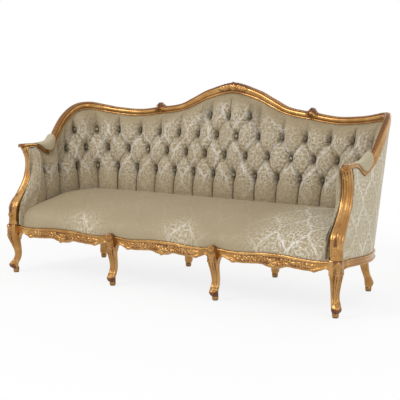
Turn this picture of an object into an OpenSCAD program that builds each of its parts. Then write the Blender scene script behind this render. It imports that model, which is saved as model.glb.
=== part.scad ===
// Three-seat cabriole sofa: a carved and gilded frame on eight legs, with a
// deep-buttoned back that runs round into the arms, padded arms and a crowned seat.
// The right half is worked out and mirrored; y runs from the front legs to the back.

/* [Plan] */
// Distance between the centres of the front corner legs
leg_span = 2006; // [1700:2:2300]
// Distance between the centres of the inner front legs
inner_span = 640; // [480:2:800]
// Distance between the feet of the inner rear legs
rear_inner_span = 574; // [400:2:800]
// Depth from the front leg line to the outer face of the back seat rail
rail_depth = 668; // [600:1:720]
// How far the middle of the crest rail leans back past the back seat rail
crest_lean = 38; // [10:1:60]
// How far the side seat rails bow out past the front leg centres
side_bow = 26; // [10:1:40]
// How far the wings stand out past the front leg centres
wing_out = 21; // [8:1:36]

/* [Heights] */
// Height of the middle line of the crest rail at its centre
crest_h = 1035; // [960:1:1120]
// Height of the middle line of the arm rail
arm_h = 688; // [650:1:720]
// Height of the seat where it meets the back
seat_h = 436; // [410:1:470]
// Height of the top of the front seat rail
rail_top = 268; // [250:1:290]
// Fall of the seat frame from the front legs to the back rail
rail_drop = 28; // [10:1:36]

/* [Show wood] */
// Height of the front seat rail
front_rail_h = 50; // [44:1:58]
// Height of the side and back seat rails
side_rail_h = 38; // [32:1:46]
// Thickness of the seat rails
rail_t = 28; // [24:1:34]
// Height of the crest rail moulding
crest_t = 40; // [32:1:48]
// Depth of the crest, wing and arm mouldings
moulding_d = 36; // [30:1:42]
// Height of the wing mouldings
wing_t = 34; // [28:1:38]
// Height of the arm mouldings under the pads
arm_t = 18; // [14:1:26]
// Width of the square block at the top of a front corner leg
knee_w = 54; // [48:1:62]
// Width of the block at the top of an inner front leg
inner_knee_w = 48; // [42:1:56]
// Thickness of a front leg at the ankle
ankle_w = 39; // [34:1:44]
// Thickness of a rear leg below the rail
rear_leg_w = 42; // [36:1:48]
// How far the ankle is drawn in behind the knee and toe
leg_swing = 16; // [8:1:24]
// How far a rear foot is splayed out from the top of its leg
rear_splay = 34; // [16:1:44]
// Diameter of the peg under each foot
peg_d = 33; // [28:1:38]
// Width of an arm support across the sofa
stump_w = 53; // [44:1:60]
// Depth of an arm support along the sofa
stump_d = 42; // [34:1:48]
// How far the waist of an arm support is swept back from its foot
stump_sweep = 124; // [90:1:140]
// How far the waist of an arm support leans in
stump_lean = 10; // [0:1:20]

/* [Upholstery] */
// Distance between buttons along a row
button_pitch = 133.5; // [120:0.5:150]
// Distance between rows of buttons
row_pitch = 105; // [95:1:112]
// Height of the lowest row of buttons
first_row = 560; // [545:1:580]
// Depth of the buttoning from crown to pleat
tuft_depth = 30; // [18:1:36]
// Diameter of a covered button
button_d = 22; // [16:1:26]
// Thickness of the padding under a button
pad_t = 12; // [8:1:18]
// Crown of the seat above its line at the back
seat_crown = 18; // [6:1:30]
// Width of an arm pad
arm_pad_w = 54; // [46:1:60]
// Height of an arm pad over the dip of the arm rail
arm_pad_h = 56; // [44:1:68]
// Thickness of the outside panels with their backing
panel_t = 5; // [4:0.5:8]

/* [Hidden] */
$fn = 32;
// Working gap between pieces that only touch
gap = 0.3;
// Room left under the mouldings, where the cloth and the posts end
tuck = 2;
// Overrun of every cut past the face that it opens
over = 1;
// Step along a line where its direction is taken
tiny_share = 0.01;
// Flat felt pad under each peg
glide_h = 5;
glide_d = 28;
peg_h = 24;
// Rise of the leg blocks above the front rail, and their place behind the feet
block_rise = 8;
block_set = -4;
// Shell on an inner knee: its rise over the rail and how far it stands out of the block
shell_rise = 14;
shell_out = 2;
// Mortises and tenons between rails and legs
tenon_t = 10;
tenon_l = 16;
// How far the front feet stand out from their blocks, and the inner ones behind the corner ones
foot_in = 3;
foot_out = 4;
inner_foot_y = 9;
// Rear legs: how far their heads stand in from the rail's outer face
rear_set = 19;
inner_splay_share = 0.76;
tenon_h_share = 0.5;
// Fall of a side rail into the front leg, after the station where it starts
knee_dip = 12;
knee_dip_shares = [[15.4, 0], [15.8, 0.15], [16.4, 0.6], [17, 1]];
// Posts reach this far in from the rail's outer face
post_in = 34;
// Seat cushion: its front edge, its lip over the rail, its flare at the front and its sunken edges
seat_front = 0;
lip_w = 12;
seat_flare = 17;
seat_sink = 16;
// Depth of a pleat's crest between two buttons, against the crown of a diamond
pleat_share = 0.5;
// Arm supports: height, sweep, width and depth from the leg block to the arm
stump_square = 1.08;
stump_shares = [
    [0, 0, 1.14, 1.3], [0.086, 0, 1.1, 1.22], [0.175, 0.02, 1.12, 1.25], [0.25, 0.11, 1.2, 1.3],
    [0.39, 0.47, 1.1, 1.05], [0.56, 0.84, 1.02, 0.98], [0.747, 1, 1, 0.95], [0.896, 0.94, 0.97, 0.95],
    [1, 0.78, 0.97, 1]
];
// Round dowels
dowel_d = 18;
dowel_l = 22;
thin_dowel_d = 10;
thin_dowel_l = 40;
// Front rail face ahead of the leg line
rail_face = -6;
// Inside upholstery: its distance from the rail's outer face and its lowest edge
arm_depth = 68;
tack_h = 330;
// Thickness of the upholstery where it is tucked under the moulding
edge_t = 8;
// Outside panels: how far their lower edge stands in from the rail's outer face
panel_set = 8;
// Frame inside the back and arms
post_w = 45;
tack_rail_h = 30;
bar_w = 45;
// Depth of the sag allowed over the cross bars
bar_dip = 8;
// Seat straps and cloth
strap_w = 50;
strap_t = 2;
hessian_t = 1;
dust_t = 1.5;
// Length of a corner block along each rail
block_l = 68;
screw_d = 5;
screw_l = 22;
screw_head_d = 9;
screw_head_h = 3;

gilt = "goldenrod";
cloth = "tan";
pale_cloth = "wheat";
beech = "burlywood";

crest_depth = rail_depth + crest_lean;
half_w = leg_span / 2;
wing_x = half_w + wing_out;
rail_x = half_w + side_bow;
crest_rise = crest_h - arm_h;
block_h = rail_top + block_rise;
block_back = block_set + knee_w / 2;
inner_block_back = block_set + inner_knee_w / 2;
inner_block_front = block_set - inner_knee_w / 2;
// Middle of the depth, between the front of the legs and the back of the crest
front_edge = block_set - knee_w / 2;
mid_y = (crest_depth + moulding_d / 2 + front_edge) / 2;

// Shares of the wing's half width, of the crest's depth and of the rise from arm to crest,
// from the middle of the crest, over the shoulder and down the wing to the arm's front
top_shares = [
    [0, 1, 1], [0.146, 1, 0.902], [0.244, 1, 0.772], [0.342, 0.998, 0.647], [0.485, 0.996, 0.584],
    [0.627, 0.988, 0.535], [0.762, 0.958, 0.556], [0.859, 0.927, 0.592], [0.936, 0.866, 0.624],
    [0.974, 0.762, 0.584], [0.991, 0.64, 0.416], [0.991, 0.527, 0.166], [0.982, 0.456, 0],
    [0.973, 0.378, -0.087], [0.976, 0.268, 0.03], [0.979, 0.184, 0.053], [0.98, 0.112, 0.055],
    [0.98, 0.077, 0.053]
];
// Shares of the seat rail's half width and depth at the same stations, on its outer face
rail_shares = [
    [0, 1], [0.146, 1], [0.238, 1], [0.331, 1], [0.467, 1],
    [0.598, 0.995], [0.718, 0.977], [0.815, 0.94], [0.887, 0.872],
    [0.934, 0.766], [0.965, 0.65], [0.99, 0.527], [0.998, 0.45],
    [1, 0.37], [0.998, 0.265], [0.995, 0.16], [0.993, 0.08],
    [0.992, block_back / rail_depth]
];
last_share = len(top_shares) - 1;
// Stations where the mouldings are jointed, and where the posts stand
leaf_share = 4;
shoulder_share = 7;
wing_foot_share = 11.5;
back_post_share = 2.4;
corner_post_share = 7.6;
wing_post_share = 10.66;
arm_front_share = 16;
seam_share = 7;
// Stations where the mouldings, rails and panels are measured
crest_centre_shares = [
    -4, -3.85, each [-3.6:0.4:-1.2], each [-0.8:0.2:0.8], each [1.2:0.4:3.6], 3.85, 4
];
crest_side_shares = [4, 4.15, 4.3, 4.7, 5.2, 5.8, 6.4, 7];
wing_shares = [7:0.3:11.51];
arm_rail_shares = [11.5, 11.8, 12.1, 12.4, 12.7, 13, 13.3, 13.6, 13.9, 14.2, 14.6, 15, 15.5, 16, 16.5, 17];
back_rail_shares = [-6.5, each [-6:0.5:-4], 0, each [4:0.5:6], 6.5];
side_shares = [each [6.5:0.35:15.6], 15.9, 16.2, 16.6, 17];
tack_back_shares = [-6.9, -6.5, -6, -5, -4, 0, 4, 5, 6, 6.5, 6.9];
tack_side_shares = [7:0.5:17];
block_shares = [8.4:-0.3:6.3];
hessian_shares = [15.5:-0.5:4];
back_panel_shares = [0, 0.4, 0.9, 1.4, 1.9, 2.4, 2.9, 3.4, 4, 4.5, 5, 5.5, 6, 6.5, 7];
dust_shares = [16.6, 16, 15.3, 15, 14, 13, 12, each [11:-0.5:4]];

// Outline of the crest, wing and arm moulding, as shares of its half depth and half height
moulding_shares = [
    [-0.9, -1], [-1, -0.8], [-1, 0.55], [-0.72, 0.92], [-0.1, 1], [0.5, 0.9],
    [0.92, 0.5], [1, 0.05], [0.8, -0.3], [0.86, -0.7], [0.62, -1]
];
// Outline of a seat rail, as shares of its thickness and height, from its top outer edge
seat_rail_shares = [
    [0.1, -1], [0, -0.88], [0, -0.7], [0.14, -0.58], [0.2, -0.38],
    [0.12, -0.22], [0, -0.14], [0, -0.04], [0.08, 0], [1, 0], [1, -1]
];
// Front legs: height, set along the swing, width between ankle and knee, squareness
leg_shares = [
    [0.085, 0.2, -0.2, 1], [0.12, 0.55, 0.35, 1.05], [0.165, 0.7, 0.5, 1.08], [0.21, 0.3, 0.4, 1.05],
    [0.28, -0.55, 0.1, 1.02], [0.38, -1, 0, 1.02], [0.5, -0.8, 0.3, 1.05], [0.62, -0.3, 0.7, 1.12],
    [0.7, 0, 0.93, 1.25], [0.77, 0, 0.97, 1.3]
];
// Height of the underside of the block at the top of a front leg
block_low_share = 0.735;
// Rear legs: height, splay, width, squareness
rear_leg_shares = [
    [0.11, 0.98, 0.8, 1], [0.16, 1.08, 0.98, 1.05], [0.23, 1.1, 1.03, 1.08], [0.32, 0.92, 0.95, 1.05],
    [0.45, 0.56, 0.9, 1.05], [0.62, 0.22, 0.95, 1.1], [0.8, 0.04, 1.02, 1.12], [1, 0, 1.04, 1.08]
];
// Lower edge of a front rail section, from its middle to its ends, where it sweeps down the legs
apron_shares = [
    [0, 1.25], [0.1, 1.2], [0.2, 1.02], [0.4, 1], [0.6, 0.98], [0.8, 0.84], [0.89, 0.69],
    [0.93, 0.73], [0.96, 0.86], [0.985, 1.1], [1, 1.42]
];
tenon_rise_share = 0.66;

// Spline through a list of points, and the same line carried on over the middle of the sofa
function bend(a, b, c, d, f) =
    (2 * b + (c - a) * f + (2 * a - 5 * b + 4 * c - d) * f * f + (3 * b - a - 3 * c + d) * f * f * f) / 2;
function curve(p, t) = let (
    n = len(p) - 1,
    i = max(0, min(floor(t), n - 1)),
    a = i == 0 ? 2 * p[0] - p[1] : p[i - 1],
    d = i + 2 > n ? 2 * p[n] - p[n - 1] : p[i + 2]
) bend(a, p[i], p[i + 1], d, t - i);
function flip(v) = [-v.x, v.y, v.z];
function both(p) = concat([for (i = [len(p) - 1:-1:1]) flip(p[i])], p);
function backwards(p) = [for (i = [len(p) - 1:-1:0]) p[i]];
function unit(v) = v / norm(v);
function mix(a, b, f) = a + (b - a) * f;
function clamp(v, low, high) = max(low, min(high, v));

// Top of the seat frame, which falls from front to back
function frame_z(y) = rail_top - rail_drop * y / rail_depth;
function knee_fall(t) = knee_dip * lookup(abs(t), knee_dip_shares);

top_line = both([for (s = top_shares)
    [s[0] * wing_x, s[1] * crest_depth, arm_h + s[2] * crest_rise]]);
rail_line = both([for (s = rail_shares) [s[0] * rail_x, s[1] * rail_depth, 0]]);
function on_line(line, t) = curve(line, t + last_share);
function ahead(line, t) = unit(on_line(line, t + tiny_share) - on_line(line, t - tiny_share));
function inward(line, t) = let (d = ahead(line, t)) unit([d.y, -d.x, 0]);

// A point of the moulding's section at a station, measured inwards and upwards
function spot(t, u, v) = let (n = inward(top_line, t))
    on_line(top_line, t) + u * n + v * cross(n, ahead(top_line, t));
half_d = moulding_d / 2;
function half_h(t) = lookup(abs(t), [[0, crest_t / 2], [6, crest_t / 2], [9, wing_t / 2],
    [wing_foot_share, wing_t / 2], [12.4, arm_t / 2]]);
// The moulding swells upwards where the leaf scrolls are carved at its joints
leaf_swell_shares = [[leaf_share - 0.3, 0], [leaf_share, 1], [leaf_share + 0.3, 0]];
function leaf(t) = lookup(abs(t), leaf_swell_shares);
// It swells downwards in the middle, where the cartouche is carved
cartouche_shares = [[0, 0.85], [0.3, 0.75], [0.55, 0.3], [0.8, 0]];
function half_low(t) = half_h(t) * (1 + lookup(abs(t), cartouche_shares));

// Outside panel from the seat rail up to the underside of the moulding
panel_top_share = 0.85;
panel_tuck_shares = [[12, 1], [13, 1.7], [14, 1.7], [15, 1]];
function outside(t, f, u) = let (
    n = inward(rail_line, t),
    low = on_line(rail_line, t) + (panel_set + u) * n,
    high = spot(t, u - panel_top_share * half_d, -half_low(t) - tuck * lookup(abs(t), panel_tuck_shares))
) mix([low.x, low.y, frame_z(low.y) - knee_fall(t) + gap], high, f);

// Lowest edge of the inside cloth, which falls to the seat rail at the front of the arms
tack_fall_shares = [[15.5, 0], [16, 1]];
function tack_z(t) = tack_h - (tack_h - rail_top - edge_t) * lookup(abs(t), tack_fall_shares);
// Inside line of the back and arms at a station and a height
tuck_shares = [[10, 1], [11, 2.6], [13, 4], [15, 2.6]];
pad_top_share = 0.55;
function inside_top(t) =
    spot(t, pad_top_share * half_d - edge_t, -half_low(t) - tuck * lookup(abs(t), tuck_shares));
function inside(t, z) = let (
    low = on_line(rail_line, t) + arm_depth * inward(rail_line, t),
    high = inside_top(t),
    f = clamp((z - tack_h) / (high.z - tack_h), 0, 1),
    g = pow(f, max(1, 2.2 - abs(t) / 6))
) [mix(low.x, high.x, g), mix(low.y, high.y, g), z];

// Distance along the inside of the back and arms, at about the height of the buttons
mid_h = (first_row + seat_h) / 2;
fine_share = 0.125;
walk = [for (i = 0, s = 0; i * fine_share <= last_share; s = s + norm(inside((i + 1) * fine_share, mid_h)
    - inside(i * fine_share, mid_h)), i = i + 1) [s, i * fine_share]];
function station(s) = sign(s) * lookup(abs(s), walk);
function distance(t) = lookup(t, [for (w = walk) [w[1], w[0]]]);

// Closed solid through a list of rings that all have as many points
module loft(rings) {
    n = len(rings);
    m = len(rings[0]);
    sides = [for (i = [0:n - 2], j = [0:m - 1])
        let (a = i * m + j, b = i * m + (j + 1) % m)
        each [[a, a + m, b], [b, a + m, b + m]]];
    ends = [[for (j = [0:m - 1]) j], [for (j = [m - 1:-1:0]) (n - 1) * m + j]];
    polyhedron([for (r = rings) each r], concat(sides, ends));
}
// Triangles between two chains of points that both run up the same axis
function zip(p, a, b, axis, i = 0, j = 0) =
    i == len(a) - 1 && j == len(b) - 1 ? []
    : i == len(a) - 1 || (j < len(b) - 1 && p[b[j + 1]][axis] < p[a[i + 1]][axis])
        ? concat([[a[i], b[j + 1], b[j]]], zip(p, a, b, axis, i, j + 1))
        : concat([[a[i], a[i + 1], b[j]]], zip(p, a, b, axis, i + 1, j));
// Thin solid through rings of two chains, the first with k points: its ends are closed from chain to chain.
// A crease turns the diagonal of a face so that the face folds along it.
module skin(rings, k, axis, crease = function (i, j) false) {
    n = len(rings);
    m = len(rings[0]);
    points = [for (r = rings) each r];
    sides = [for (i = [0:n - 2], j = [0:m - 1])
        let (a = i * m + j, b = i * m + (j + 1) % m)
        each crease(i, j) ? [[a, a + m, b + m], [a, b + m, b]] : [[a, a + m, b], [b, a + m, b + m]]];
    function cap(at) = zip(points, [for (j = [0:k - 1]) at + j], [for (j = [m - 1:-1:k]) at + j], axis);
    last_cap = [for (f = cap((n - 1) * m)) backwards(f)];
    polyhedron(points, concat(sides, cap(0), last_cap));
}
module left() { mirror([1, 0, 0]) children(); }
module place() { translate([0, -mid_y, 0]) children(); }

// Rounded square section: squareness 1 is round, larger values flatten the four sides
function section(c, across, along, w, d, q) = [for (i = [0:15]) let (
    u = clamp(q * cos(i * 22.5), -1, 1),
    v = clamp(q * sin(i * 22.5), -1, 1)
) c + across * u * w / 2 + along * v * d / 2];
right_way = [1, 0, 0];
back_way = [0, 1, 0];

// Feet and blocks of the front legs
corner_head = [half_w, block_set];
corner_foot = [half_w - foot_in, 0];
inner_head = [inner_span / 2, block_set];
inner_foot = [inner_span / 2 + foot_out, inner_foot_y];

// Heads of the rear legs, under the rails, and the way that each leans
function under_rail(t) = let (p = on_line(rail_line, t) + rear_set * inward(rail_line, t)) [p.x, p.y];
function out_way(t) = let (n = inward(rail_line, t)) [-n.x, -n.y];
rear_share = 7.3;
rear_inner_share = station_of_x(rear_inner_span / 2);
function station_of_x(x) = lookup(x, [for (t = [0:0.25:6]) [on_line(rail_line, t).x, t]]);

module peg(foot) {
    translate([foot.x, foot.y, glide_h]) cylinder(d = peg_d, h = peg_h);
}

// Front leg: a round ankle over a scrolled toe, and a square block for the rails at its top
module leg_body(foot, head, way, w, h) {
    rows = len(leg_shares) - 1;
    loft([for (t = [0:0.5:rows]) let (
        s = curve(leg_shares, t),
        c = mix(foot, head, s[0] / leg_shares[rows][0]) + way * leg_swing * s[1],
        side = mix(ankle_w, w, s[2])
    ) section([c.x, c.y, s[0] * h], right_way, back_way, side, side, s[3])]);
    peg(foot);
    translate([head.x - w / 2, head.y - w / 2, block_low_share * h]) cube([w, w, h - block_low_share * h]);
}
// Round tenon or its hole, pointing up from a face
module dowel(at, d, l, grow) {
    start = grow > 0 ? over : 0;
    translate(at - [0, 0, start]) cylinder(d = d + 2 * grow, h = l + grow + start);
}
// Mortise for a front rail's tenon, from the leg's face at x towards the side that way gives
function apron_h(w) = front_rail_h * lookup(w, apron_shares);
tenon_y = rail_face + rail_t / 2;
end_h = front_rail_h * tenon_rise_share;
mortise_l = tenon_l + gap + over;
mortise_t = tenon_t + 2 * gap;
module front_mortise(x, way) {
    translate([x + way * (mortise_l / 2 - over), tenon_y, frame_z(tenon_y) - end_h / 2])
        cube([mortise_l, mortise_t, end_h * tenon_h_share + 2 * gap], center = true);
}
// Mortise for a side rail's tenon, in the back of a corner leg
side_end = on_line(rail_line, last_share);
side_end_z = frame_z(side_end.y) - knee_fall(last_share);
module side_mortise() {
    translate([side_end.x - rail_t / 2, block_back - mortise_l / 2 + over, side_end_z - side_rail_h / 2])
        cube([mortise_t, mortise_l, side_rail_h * tenon_h_share + 2 * gap], center = true);
}

module front_leg_right() {
    color(gilt) place() difference() {
        leg_body(corner_foot, corner_head, unit([1, -1]), knee_w, block_h);
        front_mortise(half_w - knee_w / 2, 1);
        side_mortise();
        dowel([half_w, block_set, block_h - dowel_l], dowel_d, dowel_l, gap);
    }
}
module front_leg_left() { left() front_leg_right(); }
// Shell that stands up from an inner leg in front of the seat
shell_d = inner_knee_w * 0.9;
module knee_shell() {
    translate([inner_head.x, seat_front - gap, rail_top + shell_rise - shell_d / 2]) rotate([90, 0, 0])
        cylinder(d = shell_d, h = seat_front - inner_block_front + shell_out);
}
module front_leg_inner_right() {
    color(gilt) place() difference() {
        union() {
            leg_body(inner_foot, inner_head, [0, -1], inner_knee_w, frame_z(inner_block_back));
            knee_shell();
        }
        front_mortise(inner_head.x - inner_knee_w / 2, 1);
        front_mortise(inner_head.x + inner_knee_w / 2, -1);
    }
}
module front_leg_inner_left() { left() front_leg_inner_right(); }

// Rear leg, cut along its top to the slope of the rail that it carries
module rear_leg(t, splay) {
    head = under_rail(t);
    way = out_way(t);
    loft([for (i = [0:0.5:7]) let (
        s = curve(rear_leg_shares, i),
        c = head + way * splay * s[1],
        ring = section([c.x, c.y, 0], right_way, back_way, rear_leg_w * s[2], rear_leg_w * s[2], s[3])
    ) [for (p = ring) [p.x, p.y, s[0] * (frame_z(p.y) - side_rail_h)]]]);
    peg(head + way * splay);
    rear_dowel(t, 0);
}
module rear_dowel(t, grow) {
    head = under_rail(t);
    dowel([head.x, head.y, frame_z(head.y) - side_rail_h - dowel_l / 4], thin_dowel_d, dowel_l, grow);
}
module rear_leg_right() { color(gilt) place() rear_leg(rear_share, rear_splay); }
module rear_leg_left() { left() rear_leg_right(); }
module rear_leg_inner_right() {
    color(gilt) place() rear_leg(rear_inner_share, rear_splay * inner_splay_share);
}
module rear_leg_inner_left() { left() rear_leg_inner_right(); }

// Seat rails: a moulded face with flat tenons, the front ones shaped along their lower edge
tenon_shares = [for (s = seat_rail_shares)
    [(1 + (s[0] < 1 ? -1 : 1) * tenon_t / rail_t) / 2, mix(-0.5, s[1], tenon_h_share)]];
module front_rail(xa, xb) {
    half = [for (s = apron_shares) s[0]];
    across = concat([for (i = [len(half) - 1:-1:1]) -half[i]], half);
    tenon = function (x) [for (s = backwards(tenon_shares))
        [x, rail_face + s[0] * rail_t, frame_z(tenon_y) + s[1] * end_h]];
    skin([
        tenon(xa - tenon_l), tenon(xa),
        each [for (w = across) [for (s = backwards(seat_rail_shares)) let (y = rail_face + s[0] * rail_t)
            [mix(xa, xb, (w + 1) / 2), y, frame_z(y) + s[1] * apron_h(abs(w))]]],
        tenon(xb), tenon(xb + tenon_l)
    ], 2, 2);
}
module front_rail_right() {
    color(gilt) place() front_rail(inner_head.x + inner_knee_w / 2, half_w - knee_w / 2);
}
module front_rail_left() { left() front_rail_right(); }
module front_rail_centre() {
    color(gilt) place() front_rail(inner_knee_w / 2 - inner_head.x, inner_head.x - inner_knee_w / 2);
}

function side_ring(t) = let (
    p = on_line(rail_line, t),
    n = abs(t) == last_share ? [-1, 0, 0] : inward(rail_line, t)
) [for (s = seat_rail_shares) let (q = p + s[0] * rail_t * n)
    [q.x, q.y, frame_z(q.y) - knee_fall(t) + s[1] * side_rail_h]];
function side_tenon(y) = [for (s = tenon_shares)
    [side_end.x - s[0] * rail_t, y, side_end_z + s[1] * side_rail_h]];
module side_rail_right() {
    color(gilt) place() difference() {
        skin([
            each [for (t = side_shares) side_ring(t)],
            side_tenon(block_back), side_tenon(block_back - tenon_l)
        ], len(seat_rail_shares) - 2, 2);
        rear_dowel(rear_share, gap);
    }
}
module side_rail_left() { left() side_rail_right(); }
module back_rail() {
    color(gilt) place() difference() {
        loft([for (t = back_rail_shares) side_ring(t)]);
        rear_dowel(rear_inner_share, gap);
        left() rear_dowel(rear_inner_share, gap);
    }
}

// Arm support: rises from the front leg, sweeps back to a waist and forward again under the arm
stump_base = block_h;
stump_top = on_line(top_line, arm_front_share).z - arm_t / 2 - gap;
stump_end_x = on_line(top_line, arm_front_share).x;
stump_line = [for (s = stump_shares) [
    mix(half_w, stump_end_x, s[0]) - s[1] * stump_lean, block_set + s[1] * stump_sweep,
    mix(stump_base, stump_top, s[0])]];
function stump_ring(t) = let (
    n = len(stump_line) - 1,
    s = curve(stump_shares, t),
    d = curve(stump_line, t + tiny_share) - curve(stump_line, t - tiny_share),
    flat = t == 0 || t == n,
    along = flat ? back_way : unit([0, d.z, -d.y])
) section(curve(stump_line, t), right_way, along, stump_w * s[2], stump_d * s[3], stump_square);
stump_rings = [for (t = [0:0.5:len(stump_line) - 1]) stump_ring(t)];
function stump_side(z) = lookup(z, [for (r = stump_rings) [r[8].z, r[8].x]]);
function stump_inner(z) = min([for (k = [-1:1]) stump_side(z + 1.5 * k * row_step)]);
function stump_back(z) = lookup(z, [for (r = stump_rings) [r[4].z, r[4].y]]);
function stump_rear(z) = max([for (k = [-1:1]) stump_back(z + 1.5 * k * row_step)]);
function stump_front(z) = lookup(z, [for (r = stump_rings) [r[12].z, r[12].y]]);
module arm_support_right() {
    top = stump_line[len(stump_line) - 1];
    color(gilt) place() {
        loft(stump_rings);
        dowel([half_w, block_set, block_h - dowel_l], dowel_d, 2 * dowel_l, 0);
        dowel(top - [0, 0, dowel_l / 2], thin_dowel_d, dowel_l, 0);
    }
}
module arm_support_left() { left() arm_support_right(); }

// Crest, wing and arm moulding between two stations
function arm_end(t) = lookup(abs(t), [[16.5, 1], [last_share, 0.7]]);
function moulding_ring(t) = [for (s = moulding_shares) spot(t, s[0] * half_d * arm_end(t),
    s[1] * (s[1] > 0 ? half_h(t) * arm_end(t) * (1 + leaf(t)) : half_low(t)))];
module moulding(stations) { loft([for (t = stations) moulding_ring(t)]); }
// Dowel across a joint of the moulding, lying along it
module joint_dowel(t, l, grow) {
    d = ahead(top_line, t);
    translate(on_line(top_line, t)) rotate([0, acos(d.z), atan2(d.y, d.x)])
        cylinder(d = thin_dowel_d + 2 * grow, h = l + 2 * grow, center = true);
}
foot_dowel_l = thin_dowel_l / 2;
module crest_rail_centre() {
    color(gilt) place() difference() {
        moulding(crest_centre_shares);
        joint_dowel(leaf_share, thin_dowel_l, gap);
        left() joint_dowel(leaf_share, thin_dowel_l, gap);
    }
}
module crest_rail_right() {
    color(gilt) place() difference() {
        moulding(crest_side_shares);
        joint_dowel(leaf_share, thin_dowel_l, gap);
        joint_dowel(shoulder_share, thin_dowel_l, gap);
    }
}
module crest_rail_left() { left() crest_rail_right(); }
module wing_rail_right() {
    color(gilt) place() difference() {
        moulding(wing_shares);
        joint_dowel(shoulder_share, thin_dowel_l, gap);
        joint_dowel(wing_foot_share, foot_dowel_l, gap);
    }
}
module wing_rail_left() { left() wing_rail_right(); }
module arm_rail_right() {
    top = stump_line[len(stump_line) - 1];
    color(gilt) place() difference() {
        moulding(arm_rail_shares);
        joint_dowel(wing_foot_share, foot_dowel_l, gap);
        dowel(top - [0, 0, dowel_l / 2], thin_dowel_d, dowel_l, gap);
    }
}
module arm_rail_left() { left() arm_rail_right(); }
module frame_dowels() {
    color(beech) place() for (side = [0, 1]) mirror([side, 0, 0]) {
        joint_dowel(leaf_share, thin_dowel_l, 0);
        joint_dowel(shoulder_share, thin_dowel_l, 0);
        joint_dowel(wing_foot_share, foot_dowel_l, 0);
    }
}

// Posts inside the back and arms, from the seat rail to the underside of the moulding
rear_shares = [0, 0.35, 0.7, 1];
function rear_z(t, f) = mix(tack_z(t) + gap, inside_top(t).z, f);
// Edge of a post at a station: its outer and inner points at one of the heights of the padding's rear
function post_edge(t, f) = let (
    n = inward(rail_line, t),
    low = outside(t, 0, panel_t + over),
    high = outside(t, 1, panel_t + over),
    share = max(f, 0),
    z = rear_z(t, share),
    outer = mix(low, high, (z - low.z) / (high.z - low.z)),
    inner = inside(t, z) - n * mix(arm_depth - post_in, tuck, share)
) f < 0 ? [for (p = [low, on_line(rail_line, t) + post_in * n]) [p.x, p.y, frame_z(p.y)]]
    : [f == 1 ? high : outer, inner];
module post(t) {
    reach = post_w / 2 / norm(on_line(rail_line, t + 0.5) - on_line(rail_line, t - 0.5));
    skin([for (f = concat([-1], rear_shares)) let (a = post_edge(t - reach, f), b = post_edge(t + reach, f))
        [a[0], a[1], b[1], b[0]]], 2, 0);
}
module back_post_right() { color(beech) place() post(back_post_share); }
module back_post_left() { left() back_post_right(); }
module corner_post_right() { color(beech) place() post(corner_post_share); }
module corner_post_left() { left() corner_post_right(); }
module wing_post_right() { color(beech) place() post(wing_post_share); }
module wing_post_left() { left() wing_post_right(); }

// Rails that the lower edge of the inside cloth is tacked to
tack_set_shares = [[12.5, 0], [15, 1]];
function tack_ring(t) = let (
    p = on_line(rail_line, t),
    n = inward(rail_line, t),
    inner = arm_depth - gap - 2 * tuck * lookup(abs(t), tack_set_shares)
) [for (s = [[post_in + over, tack_rail_h], [post_in + over, 0], [inner, 0], [inner, tack_rail_h]])
    let (q = p + s[0] * n) [q.x, q.y, tack_h - s[1]]];
module tacking_rails() {
    color(beech) place() {
        loft([for (t = tack_back_shares) tack_ring(t)]);
        for (side = [0, 1]) mirror([side, 0, 0]) loft([for (t = tack_side_shares) tack_ring(t)]);
    }
}

// Bars from front to back that the webbing stands over, with their ends cut plumb
module cross_bar_right() {
    front = inner_block_back;
    rear = rail_depth - rail_t;
    color(beech) place() translate([inner_head.x + bar_w / 2, 0, 0]) rotate([0, -90, 0]) linear_extrude(bar_w)
        polygon([
            [frame_z(front) - bar_dip, front], [frame_z(rear) - bar_dip, rear],
            [frame_z(rear) - side_rail_h, rear], [frame_z(front) - side_rail_h, front]
        ]);
}
module cross_bar_left() { left() cross_bar_right(); }

// Flat sheet or block laid to the slope of the seat frame
module slab(outline, lift, t) {
    loft([for (z = [lift, lift + t]) [for (p = outline) [p.x, p.y, frame_z(p.y) + z]]]);
}
block_fall = side_rail_h - 2 * gap;
function rail_in(t) = let (p = on_line(rail_line, t) + (rail_t + over) * inward(rail_line, t)) [p.x, p.y];
module corner_block_shapes() {
    y0 = block_back + gap;
    x1 = side_end.x - rail_t - gap;
    slab([[x1 - block_l, y0], [x1, y0], [x1, y0 + block_l]], -block_fall, block_fall - bar_dip);
    slab([for (t = block_shares) rail_in(t)], -block_fall, block_fall - bar_dip);
}
// Screws driven up into the front blocks, with their heads sunk, or the holes that take them
screw_x = side_end.x - rail_t;
module block_screws(grow) {
    start = grow > 0 ? over : 0;
    for (p = [
        [screw_x - block_l / 3, block_back + block_l / 4],
        [screw_x - block_l / 5, block_back + block_l / 2]
    ])
        translate([p.x, p.y, frame_z(p.y) - block_fall]) {
            translate([0, 0, -start]) cylinder(d = screw_head_d + 2 * grow, h = screw_head_h + grow + start);
            cylinder(d = screw_d + 2 * grow, h = screw_l + grow);
        }
}
module corner_block_screws() {
    color("silver") place() for (side = [0, 1]) mirror([side, 0, 0]) translate([0, 0, gap]) block_screws(0);
}
module corner_blocks() {
    color(beech) place() for (side = [0, 1]) mirror([side, 0, 0]) difference() {
        corner_block_shapes();
        block_screws(2 * gap);
    }
}

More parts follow.
